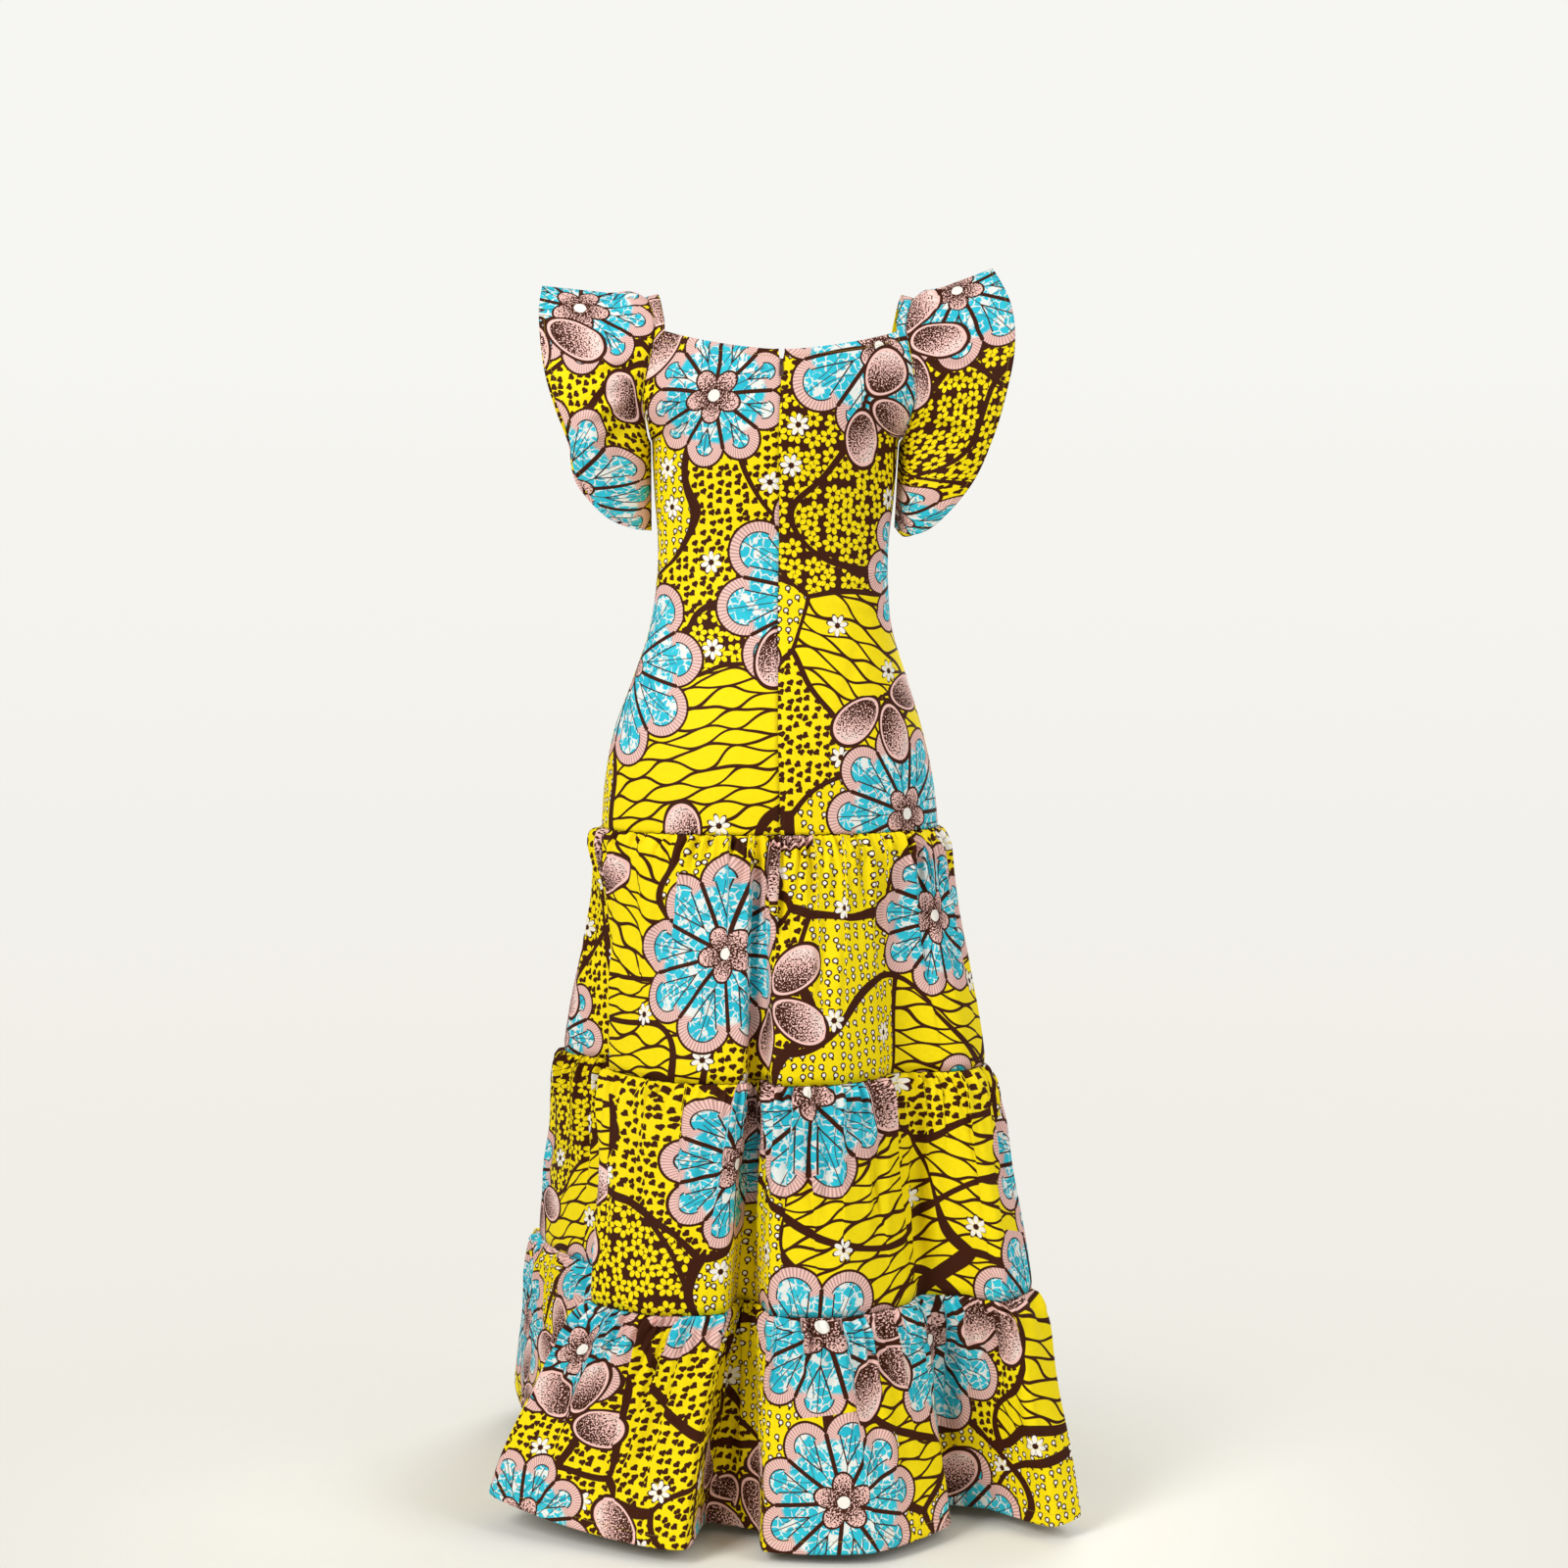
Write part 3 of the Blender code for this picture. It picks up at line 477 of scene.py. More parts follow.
# Pulls in the cloth, placed from the centre line and up from the hip seam.
# across, up, length, slant in degrees from upright, width, height
BACK_LEFT_CREASES = (
    (118, 292, 105, 78, 5, -1.6),
    (132, 268, 85, 96, 4.2, 1.4),
    (105, 246, 120, 84, 6, -1.3),
    (150, 318, 60, 66, 4, 1.2),
    (60, 305, 70, 92, 5.5, 0.8),
    (125, 440, 75, -38, 5.5, -1.8),
    (108, 462, 60, -30, 4.2, 1.3),
    (137, 404, 52, -52, 4, -1.2),
    (82, 190, 140, 14, 8.5, -1.4),
    (165, 120, 110, 22, 7, 1.2),
    (48, 80, 90, -8, 8, 0.8),
    (18, 240, 60, 74, 3.5, 0.9),
    (16, 388, 45, 80, 3.2, -0.8),
)
BACK_RIGHT_CREASES = (
    (-112, 284, 120, -82, 5.5, -1.6),
    (-128, 306, 80, -70, 4.2, 1.4),
    (-90, 262, 95, -95, 5, 1),
    (-140, 250, 70, -100, 4.5, -1.3),
    (-122, 432, 85, 34, 5.5, -1.8),
    (-138, 456, 50, 44, 4, 1.3),
    (-98, 410, 60, 26, 4.8, 1),
    (-86, 175, 150, -12, 9, -1.4),
    (-155, 95, 100, -20, 7.5, 1.2),
    (-40, 120, 85, 10, 7, 0.8),
    (-17, 262, 55, -76, 3.5, 0.9),
    (-16, 345, 50, -84, 3.4, -0.8),
)


def curve(t):
    """How much the start, its slope, the end and its slope count at t between two places."""
    return 2 * t**3 - 3 * t**2 + 1, t**3 - 2 * t**2 + t, -2 * t**3 + 3 * t**2, t**3 - t**2


def smooth(table, column, at):
    """Read a column of a table between its rows, along a smooth curve through them."""
    knots = [row[0] for row in table]
    values = [row[column] for row in table]
    last = len(knots) - 1
    at = min(max(at, knots[0]), knots[last])
    k = 0
    while k < last - 1 and at > knots[k + 1]:
        k += 1
    span = knots[k + 1] - knots[k]

    def slope(i):
        low, high = max(i - 1, 0), min(i + 1, last)
        return (values[high] - values[low]) / (knots[high] - knots[low])

    start, rise, end, fall = curve((at - knots[k]) / span)
    return values[k] * start + slope(k) * span * rise + values[k + 1] * end + slope(k + 1) * span * fall


def bell(offset, width):
    return math.exp(-((offset / width) ** 2))


def worn(point):
    """Lean and turn a point of the straight sheath into the place it is worn in."""
    turn = math.radians(smooth(SHEATH, 5, point.z))
    x = point.x * math.cos(turn) + point.y * math.sin(turn)
    y = point.y * math.cos(turn) - point.x * math.sin(turn)
    return Vector((x + smooth(SHEATH, 4, point.z), y, point.z))


def armhole_point(degrees, facing):
    turn = math.radians(degrees)
    depth = facing * ARMHOLE_HALF_DEPTH * math.sin(turn)
    return Vector((smooth(ARMHOLE, 1, degrees), depth, -ARMHOLE_HALF_HEIGHT * (1.0 - math.cos(turn))))


def sheath_point(s, kind, level, facing):
    """Outside of the left half: s runs from the centre line to the side seam or armhole."""
    column = 2 if facing > 0 else 3
    if kind == "strap":
        corner = sheath_point(STRAP_FOOT, "arm", STRAP_CORNER_DEG, facing)
        edge = armhole_point(level, facing)
        climb = 1.0 - level / STRAP_CORNER_DEG
        neck = edge + (corner - armhole_point(STRAP_CORNER_DEG, facing)) * (1.0 - climb)
        neck += Vector((-STRAP_WIDEN, 0.0, STRAP_RISE)) * climb
        return neck + (edge - neck) * ((s - STRAP_FOOT) / (1.0 - STRAP_FOOT))
    if kind == "arm":
        edge = armhole_point(level, facing)
        climb = (180.0 - level) / (180.0 - STRAP_CORNER_DEG)
        neck_z = BACK_NECK_Z if facing > 0 else FRONT_NECK_Z
        centre_z = UNDERARM_Z + (neck_z - UNDERARM_Z) * climb
        deep = smooth(SHEATH, column, centre_z)
        reach = math.acos(min(abs(edge.y) / deep, 1.0))
        z = centre_z + (edge.z - centre_z) * s**NECK_CURVE
        width = edge.x / math.sin(reach)
    else:
        z = level
        width = smooth(SHEATH, 1, level)
        deep = smooth(SHEATH, column, level)
        reach = math.pi / 2.0
    point = Vector((width * math.sin(s * reach), facing * deep * math.cos(s * reach), z))
    if facing < 0:
        across = bell(abs(point.x) - BUST_POINT[0], BUST_SPREAD[0])
        point.y -= BUST_FULLNESS * across * bell(point.z - BUST_POINT[1], BUST_SPREAD[1])
    return point


SHEATH_SHARES = [STRAP_FOOT * k / STRAP_COLUMN for k in range(STRAP_COLUMN + 1)]
SHEATH_SHARES += [STRAP_FOOT + (1 - STRAP_FOOT) * k / STRAP_COLUMNS for k in range(1, STRAP_COLUMNS + 1)]


def sheath_levels():
    rise = (UNDERARM_Z - HIP_SEAM_Z) / BODY_ROWS
    levels = [("body", HIP_SEAM_Z + rise * k) for k in range(BODY_ROWS)]
    fall = (180.0 - STRAP_CORNER_DEG) / ARM_ROWS
    levels += [("arm", 180.0 - fall * k) for k in range(ARM_ROWS + 1)]
    fall = STRAP_CORNER_DEG / STRAP_ROWS
    return levels + [("strap", STRAP_CORNER_DEG - fall * k) for k in range(1, STRAP_ROWS + 1)]


def steps_along(grid, axis):
    """Length of cloth from the first row or column to each point."""
    gaps = np.linalg.norm(np.diff(grid, axis=axis), axis=2)
    first = np.zeros_like(np.take(gaps, [0], axis=axis))
    return np.concatenate([first, np.cumsum(gaps, axis=axis)], axis=axis)


def outward(grid, sign):
    """Unit normals of a grid of points, on the side that sign says."""
    normal = np.cross(np.gradient(grid, axis=1), np.gradient(grid, axis=0)) * sign
    return normal / np.maximum(np.linalg.norm(normal, axis=2, keepdims=True), 1e-12)


def ridge(aside, trough, beside):
    """A raised fold across its width, with a shallow trough on either side."""
    return np.exp(-(aside**2)) - trough * np.exp(-(((np.abs(aside) - beside) / 0.8) ** 2))


def press(grid, cut, creases, sign):
    """Raise and sink the cloth along its creases, which fade out towards their ends."""
    rise = np.zeros(grid.shape[:2])
    for across, up, length, slant, width, height in creases:
        lean = math.radians(slant)
        dx = cut[:, :, 0] - across
        dy = cut[:, :, 1] - up
        along = (dx * math.sin(lean) + dy * math.cos(lean)) / (length / 2.0)
        aside = (dx * math.cos(lean) - dy * math.sin(lean)) / width
        aside = aside + CREASE_WANDER * np.sin(along * 2.1)
        fade = np.clip(1.0 - along**2, 0.0, 1.0) ** 2
        rise += height * fade * ridge(aside, CREASE_TROUGH, 1.6)
    return grid + outward(grid, sign) * rise[:, :, None]


def roll_in(grid, sign, edges):
    """Turn the cloth in a little where a seam pulls its edge under."""
    down = steps_along(grid, 0)
    over = steps_along(grid, 1)
    ends = {
        "first_row": down,
        "last_row": down[-1:] - down,
        "first_column": over,
        "last_column": over[:, -1:] - over,
    }
    gap = np.full(grid.shape[:2], 1.0)
    for edge in edges:
        gap = np.minimum(gap, ends[edge])
    return grid - outward(grid, sign) * (SEAM_ROLL * np.exp(-gap / SEAM_ROLL_WIDTH))[:, :, None]


def lay_out(cut, place):
    """Put a cut piece on the uncut cloth: shift across and up, and a turn in degrees."""
    across, up, degrees = place
    turn = math.radians(degrees)
    x = cut[:, :, 0] * math.cos(turn) - cut[:, :, 1] * math.sin(turn) + across
    y = cut[:, :, 0] * math.sin(turn) + cut[:, :, 1] * math.cos(turn) + up
    return np.stack([x, y], axis=2)


def new_piece(name, mesh):
    piece = bpy.data.objects.new(name, mesh)
    bpy.context.collection.objects.link(piece)
    return piece


def cloth_shell(name, grid, cloth, sign, shown=None, closed=False, finish=wax_cotton):
    """Sew a grid of points into a shell of cloth with its map; a closed one is a tube."""
    rows, columns = grid.shape[:2]
    width = columns - 1 if closed else columns
    faces = []
    corners = []
    for j in range(rows - 1):
        for i in range(columns - 1):
            if shown is None or shown[j:j + 2, i:i + 2].all():
                ring = [(j, i), (j, i + 1), (j + 1, i + 1), (j + 1, i)]
                if sign < 0:
                    ring.reverse()
                faces.append([row * width + column % width for row, column in ring])
                corners += [cloth[row, column] for row, column in ring]
    points = grid[:, :width].reshape(-1, 3)
    kept = np.unique(np.array(faces))
    renumber = np.zeros(len(points), int)
    renumber[kept] = np.arange(len(kept))
    mesh = bpy.data.meshes.new(name)
    mesh.from_pydata(points[kept].tolist(), [], renumber[np.array(faces)].tolist())
    mesh.uv_layers.new(name="cloth").data.foreach_set("uv", np.array(corners, np.float32).ravel())
    mesh.materials.append(finish)
    mesh.shade_smooth()
    piece = new_piece(name, mesh)
    wall = piece.modifiers.new("cloth_thickness", "SOLIDIFY")
    wall.thickness = CLOTH_THICKNESS
    wall.offset = -1.0
    return piece


def wear(piece, node):
    """Cloth on the dress in its solid's place; the solid is hidden."""
    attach(piece, "dress")
    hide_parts(node)


def sew_hung(name, node, grid, cut, creases, place, sign, edges, shown=None, closed=False):
    """A piece of the bodice or a sleeve, creased and turned in at its seams."""
    grid = roll_in(press(grid, cut, in_metres(creases, others=(3,)), sign), sign, edges)
    piece = cloth_shell(name, grid, lay_out(cut, place), sign, shown, closed)
    if shown is None:
        shown = np.ones(grid.shape[:2], bool)
    across = np.diff(cut, axis=1)[:-1]
    along = np.diff(cut, axis=0)[:, :-1]
    area = np.abs(across[:, :, 0] * along[:, :, 1] - across[:, :, 1] * along[:, :, 0])
    area = area[shown[:-1, :-1] & shown[1:, 1:]].sum()
    wear(piece, node)
    return grid


def sheath_grid(facing, mirror, split):
    """Points of one half from the centre line out, and its cut, flat above the hip seam."""
    levels = sheath_levels()
    grid = np.zeros((len(levels), len(SHEATH_SHARES), 3))
    for j, (kind, level) in enumerate(levels):
        for i, s in enumerate(SHEATH_SHARES):
            point = sheath_point(s, kind, level, facing)
            if split and i == 0:
                point.x = smooth(NOTCH, 1, point.z)
            point.y += facing * SEAM_GAP / 2.0
            grid[j, i] = worn(Vector((mirror * point.x, point.y, point.z)))
    over = steps_along(grid, 1)
    above = slice(NECK_ROW + 1, None)
    over[above] += (over[NECK_ROW] - over[above])[:, STRAP_COLUMN:STRAP_COLUMN + 1]
    up = steps_along(grid, 0)
    up[above, :STRAP_COLUMN] = up[NECK_ROW, :STRAP_COLUMN]
    return grid, np.stack([mirror * over, up], axis=2)


def below_neck(grid, first, last):
    """Which points of a bodice piece are cloth: all but what lies between the straps."""
    shown = np.ones(grid.shape[:2], bool)
    shown[NECK_ROW + 1:, first:last] = False
    return shown


SEWN_EDGES = ("first_row", "first_column", "last_column")


def sew_back(side, mirror, creases, place):
    grid, cut = sheath_grid(1.0, mirror, True)
    shown = below_neck(grid, 0, STRAP_COLUMN)
    names = f"back_{side}_cloth", f"back_{side}_panel"
    return sew_hung(*names, grid, cut, creases, place, -mirror, SEWN_EDGES, shown)


back_left_grid = sew_back("left", 1.0, BACK_LEFT_CREASES, (1.35, 5.80, 0.0))
back_right_grid = sew_back("right", -1.0, BACK_RIGHT_CREASES, (1.95, 0.37, 0.0))


# ================================================================ front panel
# One piece across the whole front, darted over the bust and into the waist, with a deeper
# scoop at the neck than behind. It is joined to the backs at the sides and the shoulders.
# across, up, length, slant in degrees from upright, width, height
FRONT_CREASES = (
    (118, 286, 110, 80, 5.2, -1.5),
    (100, 262, 85, 98, 4.5, 1.3),
    (-112, 292, 95, -78, 5, -1.5),
    (-128, 262, 105, -92, 5.6, 1.2),
    (-90, 300, 60, -84, 4, 1),
    (40, 300, 90, 88, 6, 0.7),
    (132, 432, 70, -48, 5, -1.6),
    (120, 405, 95, -62, 6, 1.2),
    (-126, 440, 80, 52, 5.2, -1.6),
    (-140, 404, 60, 66, 4.6, 1.3),
    (2, 420, 120, 90, 10, -1),
    (85, 150, 150, 12, 9, -1.3),
    (-78, 135, 130, -16, 8.5, -1.2),
    (155, 100, 90, 24, 7, 1.2),
    (-160, 110, 100, -20, 7.2, 1.1),
    (20, 90, 100, 4, 10, 0.8),
)
FRONT_PLACE = (1.22, 2.63, 0.0)

halves = [sheath_grid(-1.0, mirror, False) for mirror in (-1.0, 1.0)]
front_grid, front_cut = (
    np.concatenate([right[:, :0:-1], left], axis=1) for right, left in zip(*halves)
)
FRONT_COLUMNS = front_grid.shape[1] - 1
front_grid = sew_hung(
    "front_cloth", "front_panel", front_grid, front_cut, FRONT_CREASES, FRONT_PLACE, 1.0, SEWN_EDGES,
    below_neck(front_grid, STRAP_COLUMNS + 1, FRONT_COLUMNS - STRAP_COLUMNS),
)


# ================================================================ butterfly sleeves
# Wide stiff sleeves sewn round the whole armhole, standing out past the shoulder and falling
# to an open hem at the elbow side. Their folds run from the armhole out to the hem.
SLEEVE_FULLNESS = 0.010
SLEEVE_FOLD_DEG = 128.0
SLEEVE_FOLD_WIDTH_DEG = 20.0
SLEEVE_FOLD_DEPTH = 0.010
SLEEVE_FOLD_END = 0.7
SLEEVE_HEAD_LIFT = 0.004
SLEEVE_HEAD_AT = 0.14
SLEEVE_HEAD_SPREAD = 0.12
SLEEVE_HEAD_SPREAD_DEG = 40.0
SLEEVE_HEAD_START = 0.07
SLEEVE_CREST_DEG = 11.0
SLEEVE_CREST_END_DEG = 42.0
SLEEVE_COLUMNS = 180
SLEEVE_ROWS = 44

# degrees round the armhole; side, depth and height of the hem
LEFT_SLEEVE_HEM = (
    (0, 262, 0, 10),
    (25, 266, 28, -26),
    (50, 261, 50, -78),
    (75, 249, 62, -122),
    (100, 233, 64, -165),
    (125, 224, 58, -211),
    (145, 191, 46, -250),
    (162, 160, 31, -265),
    (180, 137.5, 0, -269),
)
RIGHT_SLEEVE_HEM = (
    (0, 259, 0, 36),
    (25, 276, 28, -10),
    (50, 277, 52, -60),
    (75, 266, 64, -112),
    (100, 250, 66, -165),
    (125, 226, 60, -218),
    (145, 188, 47, -262),
    (162, 162, 31, -274),
    (180, 145, 0, -264),
)

# Folds of a sleeve, placed round from the shoulder (behind is positive) and out from the seam.
# across, up, length, slant in degrees from upright, width, height
LEFT_SLEEVE_CREASES = (
    (22, 30, 60, 6, 3.9, 3.2),
    (40, 34, 75, 12, 4.6, -3.2),
    (-26, 30, 64, -8, 4.1, 2.9),
    (-48, 36, 80, -14, 5.1, -3.2),
    (4, 28, 50, 0, 3.4, -2.5),
    (128, 50, 100, 16, 6.9, -4.3),
    (170, 60, 110, 22, 7.5, 4),
    (205, 52, 90, 30, 6.3, -3.2),
    (-132, 55, 105, -18, 7.1, -4),
    (-184, 60, 110, -24, 7.8, 4),
    (85, 70, 80, 10, 8, 2.2),
    (-90, 74, 70, -10, 7.5, 2.2),
)
RIGHT_SLEEVE_CREASES = (
    (18, 32, 66, 4, 4.1, 3.2),
    (36, 30, 60, 10, 3.9, -2.9),
    (58, 40, 85, 14, 5.3, 3.2),
    (-20, 34, 70, -6, 4.4, -3.2),
    (-42, 30, 60, -12, 4.1, 2.5),
    (118, 52, 105, 14, 6.9, 4),
    (150, 60, 120, 20, 7.1, -4.3),
    (192, 56, 95, 28, 6.7, 3.2),
    (-122, 58, 110, -16, 6.9, 4),
    (-172, 60, 110, -22, 7.4, -4),
    (88, 74, 75, 8, 7.8, -2.2),
    (-84, 70, 80, -8, 7.6, -2.2),
)


def sleeve_point(degrees, v, hem_table, mirror):
    facing = 1.0 if degrees >= 0.0 else -1.0
    degrees = abs(degrees)
    start = armhole_point(degrees, facing)
    start = worn(Vector((mirror * (start.x + SEAM_GAP), start.y, start.z)))
    start.x *= mirror
    rounded = math.hypot(degrees, SLEEVE_CREST_DEG)
    rounded -= SLEEVE_CREST_DEG * bell(degrees, SLEEVE_CREST_END_DEG)
    hem = Vector((
        smooth(hem_table, 1, rounded),
        facing * smooth(hem_table, 2, degrees),
        smooth(hem_table, 3, rounded),
    ))
    point = start.lerp(hem, v)
    point.y += facing * SLEEVE_FULLNESS * math.sin(math.pi * v) * math.sin(math.radians(degrees))
    head = bell(v - SLEEVE_HEAD_AT, SLEEVE_HEAD_SPREAD) * bell(degrees, SLEEVE_HEAD_SPREAD_DEG)
    point.z += SLEEVE_HEAD_LIFT * head * min(v / SLEEVE_HEAD_START, 1.0)
    fold = bell(degrees - SLEEVE_FOLD_DEG, SLEEVE_FOLD_WIDTH_DEG)
    reach = math.sin(math.pi * min(v / SLEEVE_FOLD_END, 1.0))
    point.y -= facing * SLEEVE_FOLD_DEPTH * fold * reach
    return Vector((mirror * point.x, point.y, point.z))


def sew_sleeve(node, mirror, hem, creases, place):
    table = in_metres(hem, others=(0,))
    turns = np.linspace(-180.0, 180.0, SLEEVE_COLUMNS + 1)
    shares = np.linspace(0.0, 1.0, SLEEVE_ROWS + 1)
    grid = np.array([[sleeve_point(turn, v, table, mirror) for turn in turns] for v in shares])
    over = steps_along(grid, 1)
    over -= over[:, SLEEVE_COLUMNS // 2:SLEEVE_COLUMNS // 2 + 1]
    cut = np.stack([over, steps_along(grid, 0)], axis=2)
    edges = ("first_row",)
    return sew_hung(node + "_cloth", node, grid, cut, creases, place, -mirror, edges, closed=True)


left_sleeve_grid = sew_sleeve(
    "left_sleeve", 1.0, LEFT_SLEEVE_HEM, LEFT_SLEEVE_CREASES, (2.90, 1.90, 180.0)
)
right_sleeve_grid = sew_sleeve(
    "right_sleeve", -1.0, RIGHT_SLEEVE_HEM, RIGHT_SLEEVE_CREASES, (0.40, 3.55, 180.0)
)


# ================================================================ gathered skirt
# Three tiers, each two widths of cloth joined at the sides, gathered along the top and sewn to
# the edge above. Deep folds run down the whole skirt; the gathers fade within a hand's width.
TIER_TOPS_Z = (HIP_SEAM_Z, -0.885, -1.135)
TIER_3_CLOTH_LENGTH = 0.256
TIER_PUFF = 0.007
EARLY_FLARE = 1.35
PUFF_RISE = 0.020
PUFF_FALL = 0.110
TIER_COLUMNS = 600
TIER_ROWS = 36
TIER_ROW_CROWDING = 1.45
FOLD_ROUNDNESS = (0.80, 0.68, 0.58)
GATHER_SPACING = (0.0065, 0.0165)
GATHER_HALF_WIDTH = (0.0026, 0.0060)
GATHER_HEIGHT = (0.0030, 0.0078)
GATHER_REACH = (0.016, 0.070)
GATHER_LEAN = 0.16
GATHER_TROUGH = 0.55
GATHER_WIDENING = 0.055
PLEAT_SPACING = (0.020, 0.066)
PLEAT_REACH = (0.040, 0.150)
PLEAT_HEIGHT = (0.0034, 0.0076)
PLEAT_LAP = (0.008, 0.020)
PLEAT_TAKE_UP = (0.28, 0.62)
PLEAT_LEAN = 0.10
PLEAT_HOLLOW = 0.45
HEM_DEPTH = 0.014
HEM_FULLNESS = 0.0008
# the turned hem's form: shares of its depth above the edge, and how full the cloth is there
HEM_ROWS = (1.16, 1.0, 0.84, 0.5, 0.16)
HEM_UP = (0.0, 0.16, 0.84, 1.0, 1.16)
HEM_FORM = (0.2, 1.0, 0.8, -0.5, 0.0)
# how far apart the seeds of two tiers' gathers and pleats lie
GATHER_LUCK = 11
PLEAT_LUCK = 31

# The skirt's folds where they cross the two tier seams and the hem, going round from the
# centre back over the wearer's left: each row is one edge, corner or hollow of a fold.
# seam 1 x, y, seam 2 x, y, hem x, y
FOLDS = in_metres((
    (10, 190, 16, 214, 26, 238),
    (18, 154, 28, 154, 28, 170),
    (34, 147, 48, 140, 84, 145),
    (48, 174, 69, 201, 115, 244),
    (125, 156, 145, 203, 215, 190),
    (190, 66, 213, 138, 328, 105),
    (170, 12, 180, 40, 255, -10),
    (232, -45, 256, -120, 285, -190),
    (238, -100, 272, -215, 306, -335),
    (190, -152, 222, -270, 250, -385),
    (145, -160, 170, -232, 190, -300),
    (110, -192, 130, -268, 150, -345),
    (45, -208, 52, -290, 60, -375),
    (15, -186, 15, -242, 20, -300),
    (-20, -206, -22, -285, -30, -365),
    (-95, -196, -112, -268, -135, -345),
    (-130, -166, -150, -215, -165, -270),
    (-175, -160, -205, -225, -240, -300),
    (-228, -110, -270, -150, -328, -200),
    (-220, -70, -248, -105, -280, -130),
    (-245, -30, -288, -45, -340, -60),
    (-228, 12, -255, 40, -284, 50),
    (-245, 62, -290, 125, -336, 178),
    (-216, 106, -250, 176, -300, 204),
    (-172, 114, -205, 150, -240, 130),
    (-132, 118, -160, 140, -188, 112),
    (-108, 156, -138, 180, -186, 184),
    (-55, 190, -66, 226, -90, 259),
))

# Soft tucks between the deep folds, placed by share of the width and share of the tier's drop.
# across, down, length, slant in degrees from upright, width, height
TIER_TUCKS = {
    "tier_1_back": (
        (0.1, 0.42, 170, 3, 10, -4.9),
        (0.19, 0.55, 130, -4, 8.8, 4.2),
        (0.31, 0.36, 150, 2, 7.7, -4.6),
        (0.43, 0.5, 190, -2, 10.6, -5.7),
        (0.505, 0.3, 110, 1, 5.6, -6.5),
        (0.545, 0.28, 90, 0, 5.2, 5.3),
        (0.585, 0.3, 120, -2, 6, -6.1),
        (0.7, 0.58, 140, 4, 9.4, 4.2),
        (0.8, 0.44, 180, -3, 10, -4.6),
        (0.9, 0.62, 120, 5, 8.1, 3.8),
    ),
    "tier_1_front": (
        (0.08, 0.46, 160, -4, 9.4, 4.6),
        (0.17, 0.34, 120, 3, 7.5, -4.9),
        (0.29, 0.6, 150, -2, 10, 4.2),
        (0.4, 0.4, 190, 2, 10.6, -5.3),
        (0.52, 0.56, 120, -5, 7.7, 4.2),
        (0.61, 0.32, 140, 1, 6.9, -5.3),
        (0.74, 0.52, 170, 4, 10.3, 4.6),
        (0.86, 0.4, 130, -3, 8.3, -4.6),
        (0.94, 0.62, 110, 2, 7.5, 3.8),
    ),
    "tier_2_back": (
        (0.592, 0.52, 260, 0, 10, -10),
        (0.285, 0.56, 240, -2, 13, -8),
        (0.07, 0.5, 150, 4, 9.7, 4.6),
        (0.15, 0.36, 120, -3, 7.5, -5.3),
        (0.27, 0.58, 160, 2, 10.6, 4.6),
        (0.37, 0.42, 180, -4, 9.4, -5.3),
        (0.46, 0.34, 110, 2, 7.2, 4.9),
        (0.6, 0.52, 170, 3, 10.6, -4.9),
        (0.71, 0.38, 120, -2, 7.7, -4.9),
        (0.82, 0.56, 150, 5, 9.4, 4.6),
        (0.92, 0.4, 130, -4, 8, -4.6),
    ),
    "tier_2_front": (
        (0.06, 0.44, 140, 3, 8.8, -4.9),
        (0.18, 0.56, 160, -3, 10.6, 4.6),
        (0.28, 0.36, 110, 4, 7.2, -5.3),
        (0.41, 0.54, 180, -2, 11, 4.6),
        (0.5, 0.38, 130, 2, 8, -5.3),
        (0.63, 0.6, 140, -5, 9.4, 4.2),
        (0.72, 0.36, 120, 3, 7.5, -4.9),
        (0.84, 0.52, 170, -3, 10.3, 4.6),
        (0.95, 0.4, 110, 2, 7.2, -4.2),
    ),
    "tier_3_back": (
        (0.59, 0.5, 270, 1, 12, -10),
        (0.265, 0.48, 250, -3, 14, -8),
        (0.08, 0.4, 140, -4, 9.7, -4.9),
        (0.17, 0.56, 170, 3, 11.2, 4.9),
        (0.3, 0.34, 110, -2, 7.5, -5.3),
        (0.39, 0.58, 180, 4, 11.9, 4.9),
        (0.53, 0.44, 150, -3, 10, -5.3),
        (0.62, 0.32, 100, 2, 7, 4.9),
        (0.73, 0.54, 160, -4, 11, -4.9),
        (0.84, 0.38, 120, 3, 8.3, 4.9),
        (0.93, 0.6, 150, -2, 10, -4.2),
    ),
    "tier_3_front": (
        (0.06, 0.5, 150, 3, 10.6, 4.9),
        (0.16, 0.36, 120, -4, 8.3, -5.3),
        (0.29, 0.56, 170, 2, 11.5, 4.9),
        (0.38, 0.4, 130, -3, 9, -5.3),
        (0.51, 0.58, 160, 4, 11.2, 4.9),
        (0.6, 0.34, 110, -2, 7.5, -5.3),
        (0.74, 0.54, 170, 3, 11.5, 4.6),
        (0.83, 0.38, 120, -4, 8.5, -4.9),
        (0.94, 0.56, 140, 2, 9.7, 4.2),
    ),
}

fold_table = np.array(FOLDS)
hem_steps = np.linalg.norm(np.roll(fold_table[:, 4:6], -1, axis=0) - fold_table[:, 4:6], axis=1)
fold_knots = np.concatenate([[0.0], np.cumsum(hem_steps)]) / hem_steps.sum()


